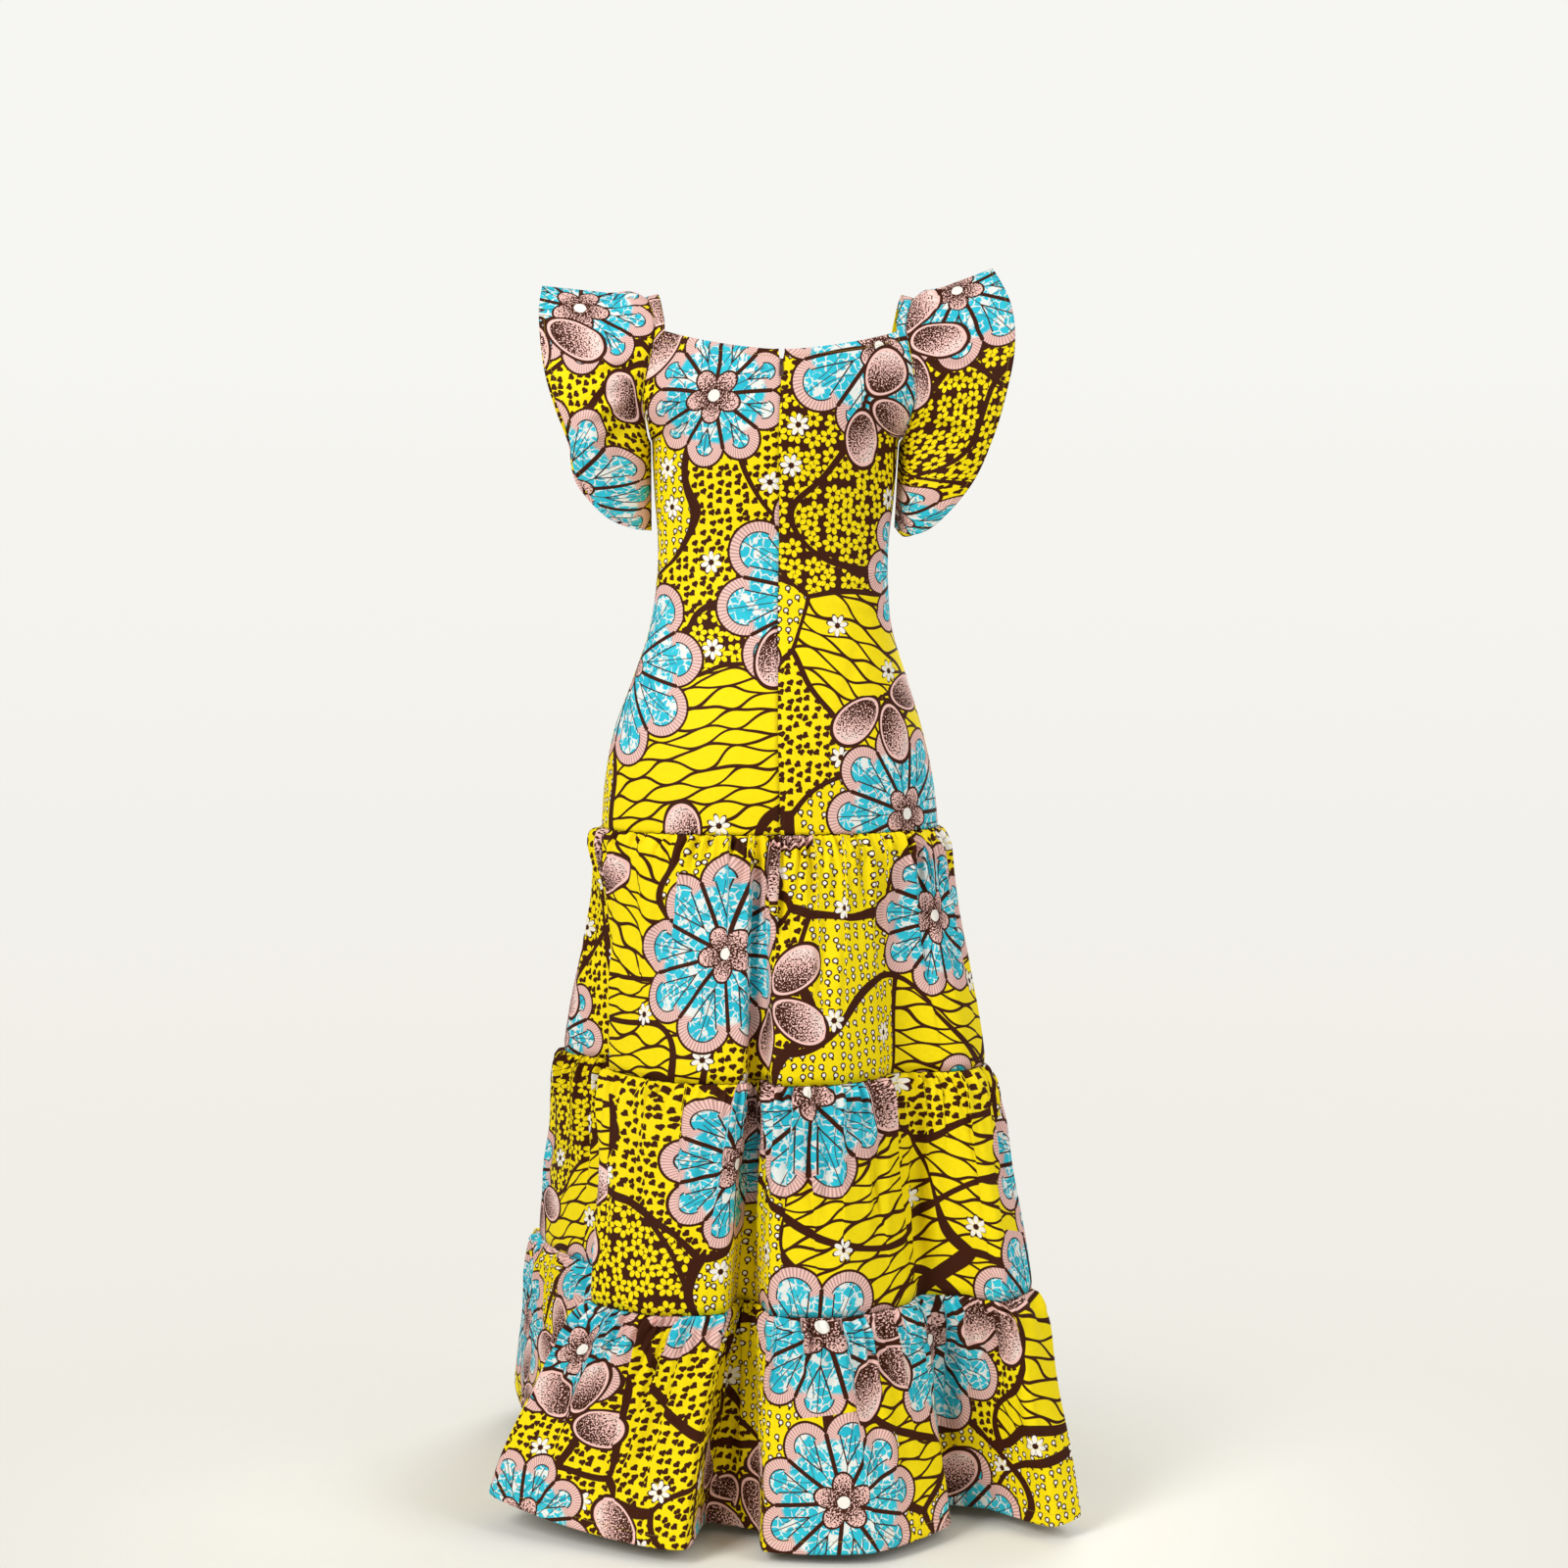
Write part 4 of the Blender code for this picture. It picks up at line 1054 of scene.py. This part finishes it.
def fold_line(level, u):
    """Plan places on a seam (0, 1) or the hem (2), at fractions u of the way round."""
    u = u % 1.0
    line = fold_table[:, 2 * level:2 * level + 2]
    count = len(line)
    k = np.clip(np.searchsorted(fold_knots, u, side="right") - 1, 0, count - 1)
    spans = np.diff(fold_knots)
    span, before, after = spans[k], spans[k - 1], spans[(k + 1) % count]
    p0, p1, p2, p3 = (line[(k + step) % count] for step in (-1, 0, 1, 2))
    m1 = FOLD_ROUNDNESS[level] * (p2 - p0) / (span + before)[:, None]
    m2 = FOLD_ROUNDNESS[level] * (p3 - p1) / (span + after)[:, None]
    start, rise, end, fall = curve(((u - fold_knots[k]) / span)[:, None])
    return p1 * start + m1 * span[:, None] * rise + p2 * end + m2 * span[:, None] * fall


def hip_line(u):
    """Plan places on the hip seam, each in the direction of the fold that hangs from it."""
    below = fold_line(0, u)
    _, width, back, front, *_ = SHEATH[0]
    deep = np.where(below[:, 1] > 0.0, back, front)
    return below / np.hypot(below[:, 0] / width, below[:, 1] / deep)[:, None]


def side_seam(low, high):
    """Fraction of the way round at which the folds cross from back to front, or front to back."""
    u = np.linspace(low, high, 4001)
    y = fold_line(0, u)[:, 1]
    k = int(np.flatnonzero(np.diff(np.sign(y)))[0])
    return u[k] + (u[k + 1] - u[k]) * y[k] / (y[k] - y[k + 1])


def ease(t):
    t = np.clip(t, 0.0, 1.0)
    return t * t * (3.0 - 2.0 * t)


def gather_rise(over, drop, seed):
    """Uneven gathers: height of each point, by its place along the cloth and under the seam."""
    luck = random.Random(seed)
    rise = np.zeros(over.shape)
    at = luck.uniform(0.0, GATHER_SPACING[1])
    while at < float(over.max()):
        half = luck.uniform(*GATHER_HALF_WIDTH)
        height = luck.uniform(*GATHER_HEIGHT)
        reach = luck.uniform(*GATHER_REACH)
        lean = luck.uniform(-GATHER_LEAN, GATHER_LEAN)
        aside = (over - at - lean * drop) / (half * (1.0 + drop / GATHER_WIDENING))
        fade = np.exp(-((drop / reach) ** 1.3)) * (0.45 + 0.55 * ease(drop / 0.006))
        rise += height * fade * ridge(aside, GATHER_TROUGH, 1.7)
        at += luck.uniform(*GATHER_SPACING)
    return rise


def lay_pleats(over, drop, seed):
    """Small laid pleats under a seam: their rise, and how far each slips the cloth sideways."""
    luck = random.Random(seed)
    rise = np.zeros(over.shape)
    slip = np.zeros(over.shape)
    at = luck.uniform(0.0, PLEAT_SPACING[0])
    while at < float(over.max()):
        spacing = luck.uniform(*PLEAT_SPACING)
        way = luck.choice((-1.0, 1.0))
        lap = luck.uniform(*PLEAT_LAP)
        height = luck.uniform(*PLEAT_HEIGHT)
        reach = luck.uniform(*PLEAT_REACH)
        take_up = spacing * luck.uniform(*PLEAT_TAKE_UP)
        line = over - at - luck.uniform(-PLEAT_LEAN, PLEAT_LEAN) * drop
        fade = np.exp(-((drop / reach) ** 1.6))
        back = -way * line
        ramp = np.where(back >= 0.0, np.clip(1.0 - back / lap, 0.0, 1.0) ** 1.5, 0.0)
        hollow = np.where(back < 0.0, np.exp(-((back / (0.6 * lap)) ** 2)), 0.0)
        rise += height * fade * (0.5 + 0.5 * ease(drop / 0.008)) * (ramp - PLEAT_HOLLOW * hollow)
        left_over = 1.0 - np.clip(line / spacing, 0.0, 1.0)
        slip += take_up * fade * np.where(line > 0.0, left_over, 0.0)
        at += spacing
    return rise, slip


def tier_form(tier, start, end):
    """A tier's points, how far each lies under the seam, and the rows' shares of the drop."""
    first, second = fold_line(tier, np.array([start, start + 0.001]))
    inset = SEAM_GAP / 2.0 / (np.linalg.norm(second - first) / 0.001)
    u = np.linspace(start + inset, end - inset, TIER_COLUMNS + 1)
    top = hip_line(u) if tier == 0 else fold_line(tier - 1, u)
    bottom = fold_line(tier, u)
    share = (np.arange(TIER_ROWS + 1) / TIER_ROWS) ** TIER_ROW_CROWDING
    if tier == 2:
        height = np.sqrt(TIER_3_CLOTH_LENGTH**2 - np.linalg.norm(bottom - top, axis=1) ** 2)
        turned = 1.0 - HEM_DEPTH / TIER_3_CLOTH_LENGTH * np.array(HEM_ROWS)
        share = np.unique(np.concatenate([share[share < turned[0] - 0.004], turned, [1.0]]))
    else:
        height = np.full(len(u), TIER_TOPS_Z[tier] - TIER_TOPS_Z[tier + 1])
    drop = share[:, None] * height[None, :]
    early = (1.0 - (1.0 - share) ** EARLY_FLARE)[:, None, None]
    plan = top[None] + (bottom - top)[None] * early
    puff = TIER_PUFF * ease(drop / PUFF_RISE) * (1.0 - ease((drop - PUFF_RISE) / PUFF_FALL))
    plan = plan * (1.0 + puff[:, :, None] / np.linalg.norm(plan, axis=2, keepdims=True))
    grid = np.concatenate([plan, (TIER_TOPS_Z[tier] - drop)[:, :, None]], axis=2)
    grid[0, :, 2] -= SEAM_GAP
    return grid, drop, share


def sew_tier(tier, side, start, end, place):
    """One width of a tier, gathered at the top, from one side seam to the other."""
    name = f"tier_{tier + 1}_{side}"
    grid, drop, share = tier_form(tier, start, end)
    hem = steps_along(grid[-1:], 1)[0]
    width = float(hem[-1])
    length = float(steps_along(grid, 0)[-1].mean())
    over = np.broadcast_to(hem, drop.shape)
    cut = np.stack([over, -share[:, None] * length * np.ones_like(drop)], axis=2)
    tucks = [
        (across * width, -down * length, *sizes)
        for across, down, *sizes in in_metres(TIER_TUCKS[name], others=(0, 1, 3))
    ]
    grid = press(grid, cut, tucks, 1.0)
    rise = gather_rise(over, drop, GATHER_LUCK * tier + len(side))
    pleat_rise, slip = lay_pleats(over, drop, PLEAT_LUCK * tier + len(side))
    rise += pleat_rise
    edges = SEWN_EDGES + ("last_row",)
    if tier == 2:
        edges = SEWN_EDGES
        up = (1.0 - share) * TIER_3_CLOTH_LENGTH / HEM_DEPTH
        rise += (HEM_FULLNESS * np.interp(up, HEM_UP, HEM_FORM))[:, None]
    grid = roll_in(grid + outward(grid, 1.0) * rise[:, :, None], 1.0, edges)
    cut[:, :, 0] += slip
    piece = cloth_shell(name + "_cloth", grid, lay_out(cut, place), 1.0)
    wear(piece, name)
    return grid


left_seam = side_seam(0.05, 0.45)
right_seam = side_seam(0.55, 0.95)
# on the uncut cloth: across and up, turn in degrees
TIER_PLACES = {
    (0, "back"): (6.45, 5.90, 0.0),
    (0, "front"): (4.75, 1.45, 0.0),
    (1, "back"): (0.25, 4.70, 0.0),
    (1, "front"): (2.10, 5.60, 0.0),
    (2, "back"): (4.30, 3.20, 0.0),
    (2, "front"): (6.40, 0.85, 0.0),
}
SIDE_SEAMS = {"back": (right_seam - 1.0, left_seam), "front": (left_seam, right_seam)}
tier_grids = {
    (tier, side): sew_tier(tier, side, *SIDE_SEAMS[side], on_cloth)
    for (tier, side), on_cloth in TIER_PLACES.items()
}


# ================================================================ lockstitch along the edges
# Single rows of gold lockstitch that hold the turned edges: the neck, both sleeve hems and
# the skirt's hem. Each stitch is a short raised thread, sunk at its ends.
STITCH_LENGTH = 0.0024
STITCH_PITCH = 0.0029
STITCH_WIDTH = 0.00055
STITCH_ROWS_IN = 2
HEM_STITCH_UP = 0.014
THREAD_GOLD = (0.60, 0.44, 0.02, 1.0)
# how dark the thread goes in the painted shade of its ply hollows and in its random darker tone
THREAD_SHADE = 0.62
PLY_PITCH = 0.0006


def thread_finish(name, colour):
    """Twisted polyester thread: fine slanted plies across a stitch, with painted shade darkening the
    hollows between the plies, over random tone.
    """
    finish, p = new_finish(name)
    where = p.place()
    x, y, z = p.parts(where)
    slant = p.plus(p.plus(x, y), p.times(z, 0.8))
    ply = p.math("SINE", p.times(slant, math.tau / PLY_PITCH))
    tone = p.noise(where, 260.0, 2.0)
    darker = tuple(THREAD_SHADE * part for part in colour[:3]) + (1.0,)
    # painted shade: the colour darkens in the ply hollows, where the bump sinks, over random tone
    shade = p.math("MULTIPLY_ADD", ply, 0.22, tone, clamp=True)
    look = {"Base Color": p.ink(shade, darker, colour), "Roughness": p.between(0.45, 0.65, tone)}
    p.surface(look, ply, 0.4, 0.0001)
    return finish


def repeat_tree(name, sizes, finish, motif):
    """Geometry Nodes: a motif at each point, made real and coloured; sizes are its inputs."""
    tree = bpy.data.node_groups.new(name, "GeometryNodeTree")
    for label, kind in (("Geometry", "Geometry"), *sizes):
        tree.interface.new_socket(label, in_out="INPUT", socket_type="NodeSocket" + kind)
    tree.interface.new_socket("Geometry", in_out="OUTPUT", socket_type="NodeSocketGeometry")
    g = Nodes(tree)
    entry = g.node("NodeGroupInput", {}).outputs
    inputs = {"Points": entry["Geometry"], **motif(g, entry)}
    placed = g.node("GeometryNodeInstanceOnPoints", inputs).outputs["Instances"]
    real = g.node("GeometryNodeRealizeInstances", {"Geometry": placed}).outputs["Geometry"]
    coloured = g.node("GeometryNodeSetMaterial", {"Geometry": real, "Material": finish})
    g.node("NodeGroupOutput", {"Geometry": coloured.outputs["Geometry"]})
    return tree


def repeat_on(piece, tree, sizes):
    """Run a tree on a piece of points, and leave a plain mesh without the modifier."""
    repeat = piece.modifiers.new("repeat", "NODES")
    repeat.node_group = tree
    for item in tree.interface.items_tree:
        if item.name in sizes:
            repeat[item.identifier] = sizes[item.name]
    graph = bpy.context.evaluated_depsgraph_get()
    mesh = bpy.data.meshes.new_from_object(piece.evaluated_get(graph))
    piece.modifiers.clear()
    piece.data = mesh
    mesh.shade_smooth()


def stitch(g, entry):
    """One bead of thread, along the seam and facing out of the cloth."""
    bead = g.node("GeometryNodeMeshUVSphere", {"Segments": 6, "Rings": 4, "Radius": 1.0})
    scale = {"Geometry": bead.outputs["Mesh"], "Scale": entry["Stitch"]}
    turned = (0.0, 0.0, 0.0)
    for axis, pivot, attribute in (("X", "AUTO", "along"), ("Z", "X", "outside")):
        read = g.node("GeometryNodeInputNamedAttribute", {}, data_type="FLOAT_VECTOR")
        read.inputs["Name"].default_value = attribute
        inputs = {"Rotation": turned, "Vector": read.outputs["Attribute"]}
        align = g.node("FunctionNodeAlignRotationToVector", inputs, axis=axis, pivot_axis=pivot)
        turned = align.outputs["Rotation"]
    sized = g.node("GeometryNodeTransform", scale).outputs["Geometry"]
    return {"Instance": sized, "Rotation": turned}


def evenly(path, facing, pitch):
    """Points a pitch apart on a path, with the way along it and the cloth's outside there."""
    steps = np.concatenate([[0.0], np.cumsum(np.linalg.norm(np.diff(path, axis=0), axis=1))])
    at = (np.arange(int(steps[-1] / pitch)) + 0.5) * pitch
    points, outside = (
        np.stack([np.interp(at, steps, values[:, k]) for k in range(3)], axis=1)
        for values in (path, facing)
    )
    return points, np.gradient(points, axis=0), outside


lockstitch = repeat_tree(
    "lockstitch", (("Stitch", "Vector"),), thread_finish("sewing_thread", THREAD_GOLD), stitch
)


def stitch_rows(name, rows):
    """Sew rows of stitches; each row is a path on the cloth and the cloth's outside along it."""
    laid = [evenly(path, facing, STITCH_PITCH) for path, facing in rows]
    points, along, outside = (np.concatenate([row[k] for row in laid]) for k in range(3))
    mesh = bpy.data.meshes.new(name)
    mesh.from_pydata((points + outside * STITCH_WIDTH * 0.25).tolist(), [], [])
    for label, values in (("along", along), ("outside", outside)):
        data = mesh.attributes.new(label, "FLOAT_VECTOR", "POINT").data
        data.foreach_set("vector", values.astype(np.float32).ravel())
    piece = new_piece(name, mesh)
    repeat_on(piece, lockstitch, {"Stitch": (STITCH_LENGTH / 2.0, STITCH_WIDTH / 2.0, STITCH_WIDTH / 2.0)})
    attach(piece, "dress")


def row_on(grid, sign, places):
    """A path over the grid's (row, column) places, and the cloth's outside along it."""
    rows, columns = np.array(places).T
    return grid[rows, columns], outward(grid, sign)[rows, columns]


hem_rows = []
for side in ("back", "front"):
    width_grid = tier_grids[2, side]
    above_edge = steps_along(width_grid, 0)
    above_edge = (above_edge[-1] - above_edge).mean(axis=1)
    row = int(np.argmin(np.abs(above_edge - HEM_STITCH_UP)))
    hem_rows.append((width_grid[row], outward(width_grid, 1.0)[row]))
stitch_rows("hem_stitches", hem_rows)

cuff_row = -1 - STITCH_ROWS_IN
stitch_rows("sleeve_hem_stitches", [
    (grid[cuff_row], outward(grid, sign)[cuff_row])
    for grid, sign in ((left_sleeve_grid, -1.0), (right_sleeve_grid, 1.0))
])

neck_row = NECK_ROW - STITCH_ROWS_IN
strap_rows = range(len(front_grid) - 1, neck_row, -1)
half_neck = [(j, STRAP_COLUMN + 1) for j in strap_rows]
half_neck += [(neck_row, i) for i in range(STRAP_COLUMN + 1, -1, -1)]
first, last = STRAP_COLUMNS - 1, FRONT_COLUMNS - STRAP_COLUMNS + 1
whole_neck = [(j, first) for j in strap_rows]
whole_neck += [(neck_row, i) for i in range(first, last + 1)]
whole_neck += [(j, last) for j in reversed(strap_rows)]
stitch_rows("neck_stitches", [
    row_on(back_left_grid, -1.0, half_neck),
    row_on(back_right_grid, 1.0, half_neck),
    row_on(front_grid, 1.0, whole_neck),
])


# ================================================================ concealed zip
# A nylon coil zip sewn behind the centre-back seam: two woven tapes whose coils meet on the
# seam line, so only the slider's crown and the pull tab show, at the notch in the neck.
ZIP_TOP_Z = -0.0880
ZIP_BOTTOM_Z = -0.504
ZIP_HALF_WIDTH = 0.012
ZIP_DEPTH = 0.0029
TAPE_THICKNESS = 0.0006
TAPE_ROW = 0.004
TAPE_COLUMNS = 16
RIB_PITCH = 0.0006
CROSS_PITCH = 0.0009
COIL_PITCH = 0.0016
COIL_RADIUS = 0.0013
COIL_WIRE = 0.00028
COIL_SET_BACK = 0.0012
COIL_ENDS = (0.006, 0.002)
COIL_SLANT = 0.30
COIL_FLATNESS = 0.45
TAPE_BROWN = (0.050, 0.020, 0.014, 1.0)
# the tape's colour in the painted shade of its rib hollows and in its random darker tone
TAPE_SHADE = (0.026, 0.010, 0.007, 1.0)
COIL_BROWN = (0.030, 0.012, 0.009, 1.0)
COIL_SCUFF = (0.075, 0.034, 0.024, 1.0)


def tape_finish():
    """Close twill tape: slanted ribs 0.6 mm apart, with a painted highlight on their crests and painted
    shade in their hollows, over random tone.
    """
    finish, p = new_finish("zip_tape")
    x, _, z = p.parts(p.place())
    rib = p.math("SINE", p.times(p.plus(p.size(x), z), math.tau / RIB_PITCH))
    weave = p.math("MULTIPLY_ADD", p.math("SINE", p.times(x, math.tau / CROSS_PITCH)), 0.4, rib)
    # painted highlight and shade: lighter on the rib crests and darker in the hollows, as the bump rises
    # and sinks, over random tone
    tone = p.math("MULTIPLY_ADD", weave, 0.16, p.noise(p.join(x, z), 120.0, 2.0), clamp=True)
    look = {"Base Color": p.ink(tone, TAPE_SHADE, TAPE_BROWN), "Roughness": p.between(0.65, 0.85, tone)}
    p.surface(look, weave, 0.5, 0.0002)
    return finish


def zip_line(z, side=0.0):
    """A place behind the centre-back seam: height, and how far to the side of the seam."""
    y = smooth(SHEATH, 2, z) * math.sqrt(1.0 - (side / smooth(SHEATH, 1, z)) ** 2) - ZIP_DEPTH
    return worn(Vector((side, y, z)))


tape_heights = np.linspace(ZIP_BOTTOM_Z, ZIP_TOP_Z, int((ZIP_TOP_Z - ZIP_BOTTOM_Z) / TAPE_ROW) + 1)
tape_sides = np.linspace(-ZIP_HALF_WIDTH, ZIP_HALF_WIDTH, TAPE_COLUMNS + 1)
tape_grid = np.array([[zip_line(z, side) for side in tape_sides] for z in tape_heights])
tape_cut = np.stack([steps_along(tape_grid, 1), steps_along(tape_grid, 0)], axis=2)
zip_tape = cloth_shell("zip_tapes", tape_grid, tape_cut, -1.0, finish=tape_finish())
zip_tape.modifiers["cloth_thickness"].thickness = TAPE_THICKNESS
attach(zip_tape, "dress")
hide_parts("back_zip")


def coil_finish():
    """Moulded nylon coil: dark and smooth, with fine paler scuffs."""
    finish, p = new_finish("zip_coil")
    tone = p.noise(p.place(), 700.0, 3.0)
    look = {"Base Color": p.ink(tone, COIL_BROWN, COIL_SCUFF), "Roughness": p.between(0.28, 0.50, tone)}
    p.surface(look, tone, 0.2, 0.00005)
    return finish


def coil_loop(g, entry):
    """One loop of nylon wire, slanted as it is wound and pressed flat."""
    loop, wire = (
        g.node("GeometryNodeCurvePrimitiveCircle", {"Resolution": steps, "Radius": entry[radius]})
        for steps, radius in ((10, "Loop Radius"), (5, "Wire Radius"))
    )
    curves = {"Curve": loop.outputs["Curve"], "Profile Curve": wire.outputs["Curve"]}
    solid = g.node("GeometryNodeCurveToMesh", curves).outputs["Mesh"]
    return {"Instance": solid, "Rotation": (COIL_SLANT, 0.0, 0.0), "Scale": (1.0, COIL_FLATNESS, 1.0)}


radii = (("Loop Radius", "Float"), ("Wire Radius", "Float"))
coil_heights = np.arange(ZIP_BOTTOM_Z + COIL_ENDS[0], ZIP_TOP_Z - COIL_ENDS[1], COIL_PITCH)
coil_mesh = bpy.data.meshes.new("zip_coils")
seats = [zip_line(z) + Vector((0.0, -COIL_SET_BACK, 0.0)) for z in coil_heights]
coil_mesh.from_pydata(seats, [], [])
coils = new_piece("zip_coils", coil_mesh)
coil_tree = repeat_tree("zip_coil", radii, coil_finish(), coil_loop)
repeat_on(coils, coil_tree, {"Loop Radius": COIL_RADIUS, "Wire Radius": COIL_WIRE})
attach(coils, "dress")


# ================================================================ slider and pull tab
# Die-cast zinc, painted to match the brown of the print, with the paint rubbed on the edges.
# The pull tab hangs from the slider's crown and swings up on it.
PAINT_BROWN = (0.060, 0.022, 0.014, 1.0)
PAINT_LIGHTER = (0.085, 0.034, 0.022, 1.0)
BARE_ZINC = (0.46, 0.42, 0.38, 1.0)


def painted_zinc():
    finish, p = new_finish("painted_zip_metal")
    where = p.place()
    edge = p.node("ShaderNodeNewGeometry", {}).outputs["Pointiness"]
    speck = p.noise(where, 900.0, 3.0, flat=False)
    rubbed = p.both(p.math("GREATER_THAN", edge, 0.54), p.math("GREATER_THAN", speck, 0.64))
    look = {
        "Base Color": p.ink(rubbed, p.ink(speck, PAINT_BROWN, PAINT_LIGHTER), BARE_ZINC),
        "Roughness": p.between(0.26, 0.42, speck),
        "Metallic": rubbed,
    }
    orange_peel = p.noise(where, 1800.0, 1.0, flat=False)
    p.surface(look, orange_peel, 0.25, 0.00004)
    return finish


zinc = painted_zinc()
for node in ("zip_slider", "zip_pull"):
    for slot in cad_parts[node].material_slots:
        slot.material = zinc


# ================================================================ floor, light and camera
# Pale studio floor just under the hem, even soft light, and a camera behind the dress, a
# little to the wearer's left.
FLOOR_Z = -1.402
FLOOR_RADIUS = 3.2
FLOOR_PALE = (0.93, 0.915, 0.850, 1.0)
FLOOR_SHADE = (0.91, 0.895, 0.830, 1.0)
FLOOR_FADE = (0.42, 1.10)
# the backdrop the camera sees, low and high: painted shade makes it darker and warmer towards the bottom
BACKDROP_LOW = (0.850, 0.826, 0.752, 1.0)
BACKDROP_HIGH = (0.925, 0.920, 0.890, 1.0)
ROOM_LIGHT = (0.43, 0.43, 0.42, 1.0)


def pale_floor():
    """Matt paint, seen through towards its rim, so that no edge shows against the backdrop."""
    finish, p = new_finish("studio_floor")
    where = p.place()
    tone = p.noise(where, 3.0, 3.0)
    look = {"Base Color": p.ink(tone, FLOOR_PALE, FLOOR_SHADE), "Roughness": 0.9}
    paint = p.fill(p.tree.nodes["Principled BSDF"], look).outputs[0]
    start, end = FLOOR_FADE
    gone = p.math("MULTIPLY_ADD", p.length(where), 1.0 / (end - start), -start / (end - start), clamp=True)
    gone = p.times(gone, p.math("MULTIPLY_ADD", gone, -1.0, 2.0))
    clear = p.node("ShaderNodeBsdfTransparent", {}).outputs[0]
    mixed = p.node("ShaderNodeMixShader", {0: gone, 1: paint, 2: clear}).outputs[0]
    p.fill(p.tree.nodes["Material Output"], {"Surface": mixed})
    return finish


bpy.ops.mesh.primitive_circle_add(vertices=96, radius=FLOOR_RADIUS, fill_type="NGON")
floor = bpy.context.object
floor.name = "studio_floor"
floor.data.transform(floor.matrix_world)
floor.data.materials.append(pale_floor())
floor.location.z = FLOOR_Z

world = bpy.data.worlds.new("studio")
bpy.context.scene.world = world
world.use_nodes = True
sky = Nodes(world.node_tree)
climb = sky.parts(sky.node("ShaderNodeTexCoord", {}).outputs["Generated"])[2]
# painted backdrop, seen only by the camera: darker and warmer towards the bottom as painted shade; the
# scene is lit by the even ROOM_LIGHT
backdrop = sky.ink(sky.math("MULTIPLY_ADD", climb, 2.2, 0.75, clamp=True), BACKDROP_LOW, BACKDROP_HIGH)
seen = sky.node("ShaderNodeLightPath", {}).outputs["Is Camera Ray"]
look = {"Color": sky.ink(seen, ROOM_LIGHT, backdrop), "Strength": 1.0}
sky.fill(world.node_tree.nodes["Background"], look)

# name, place, aimed at, width, height, watts
SOFTBOXES = (
    ("key_softbox", (2.3, 2.2, 1.1), (0.0, 0.0, -0.5), 1.3, 2.2, 94.0),
    ("fill_softbox", (-2.5, 2.0, 0.9), (0.0, 0.0, -0.5), 1.8, 2.2, 46.0),
    ("front_softbox", (-1.6, -2.6, 0.9), (0.0, 0.0, -0.6), 2.4, 2.6, 52.0),
)
CAMERA_PLACE = (0.2455, 2.9900, -0.3875)
CAMERA_LENS = 59.1
CAMERA_TILT_DEG = 3.35
CAMERA_SWING = (-0.08716, -0.99619)


def facing_along(name, data, place, way):
    """A lamp or camera that looks along a way, with its top up."""
    made = new_piece(name, data)
    made.location = place
    made.rotation_euler = way.to_track_quat("-Z", "Y").to_euler()
    return made


for name, place, target, wide, tall, watts in SOFTBOXES:
    lamp = bpy.data.lights.new(name, "AREA")
    lamp.shape = "RECTANGLE"
    lamp.size = wide
    lamp.size_y = tall
    lamp.energy = watts
    facing_along(name, lamp, place, Vector(target) - Vector(place))

view = bpy.data.cameras.new("view")
view.lens = CAMERA_LENS
view.sensor_width = 36.0
tilt = math.radians(CAMERA_TILT_DEG)
swing_x, swing_y = CAMERA_SWING
way = Vector((swing_x * math.cos(tilt), swing_y * math.cos(tilt), -math.sin(tilt)))
bpy.context.scene.camera = facing_along("view", view, CAMERA_PLACE, way)
bpy.context.scene.view_settings.view_transform = "Standard"
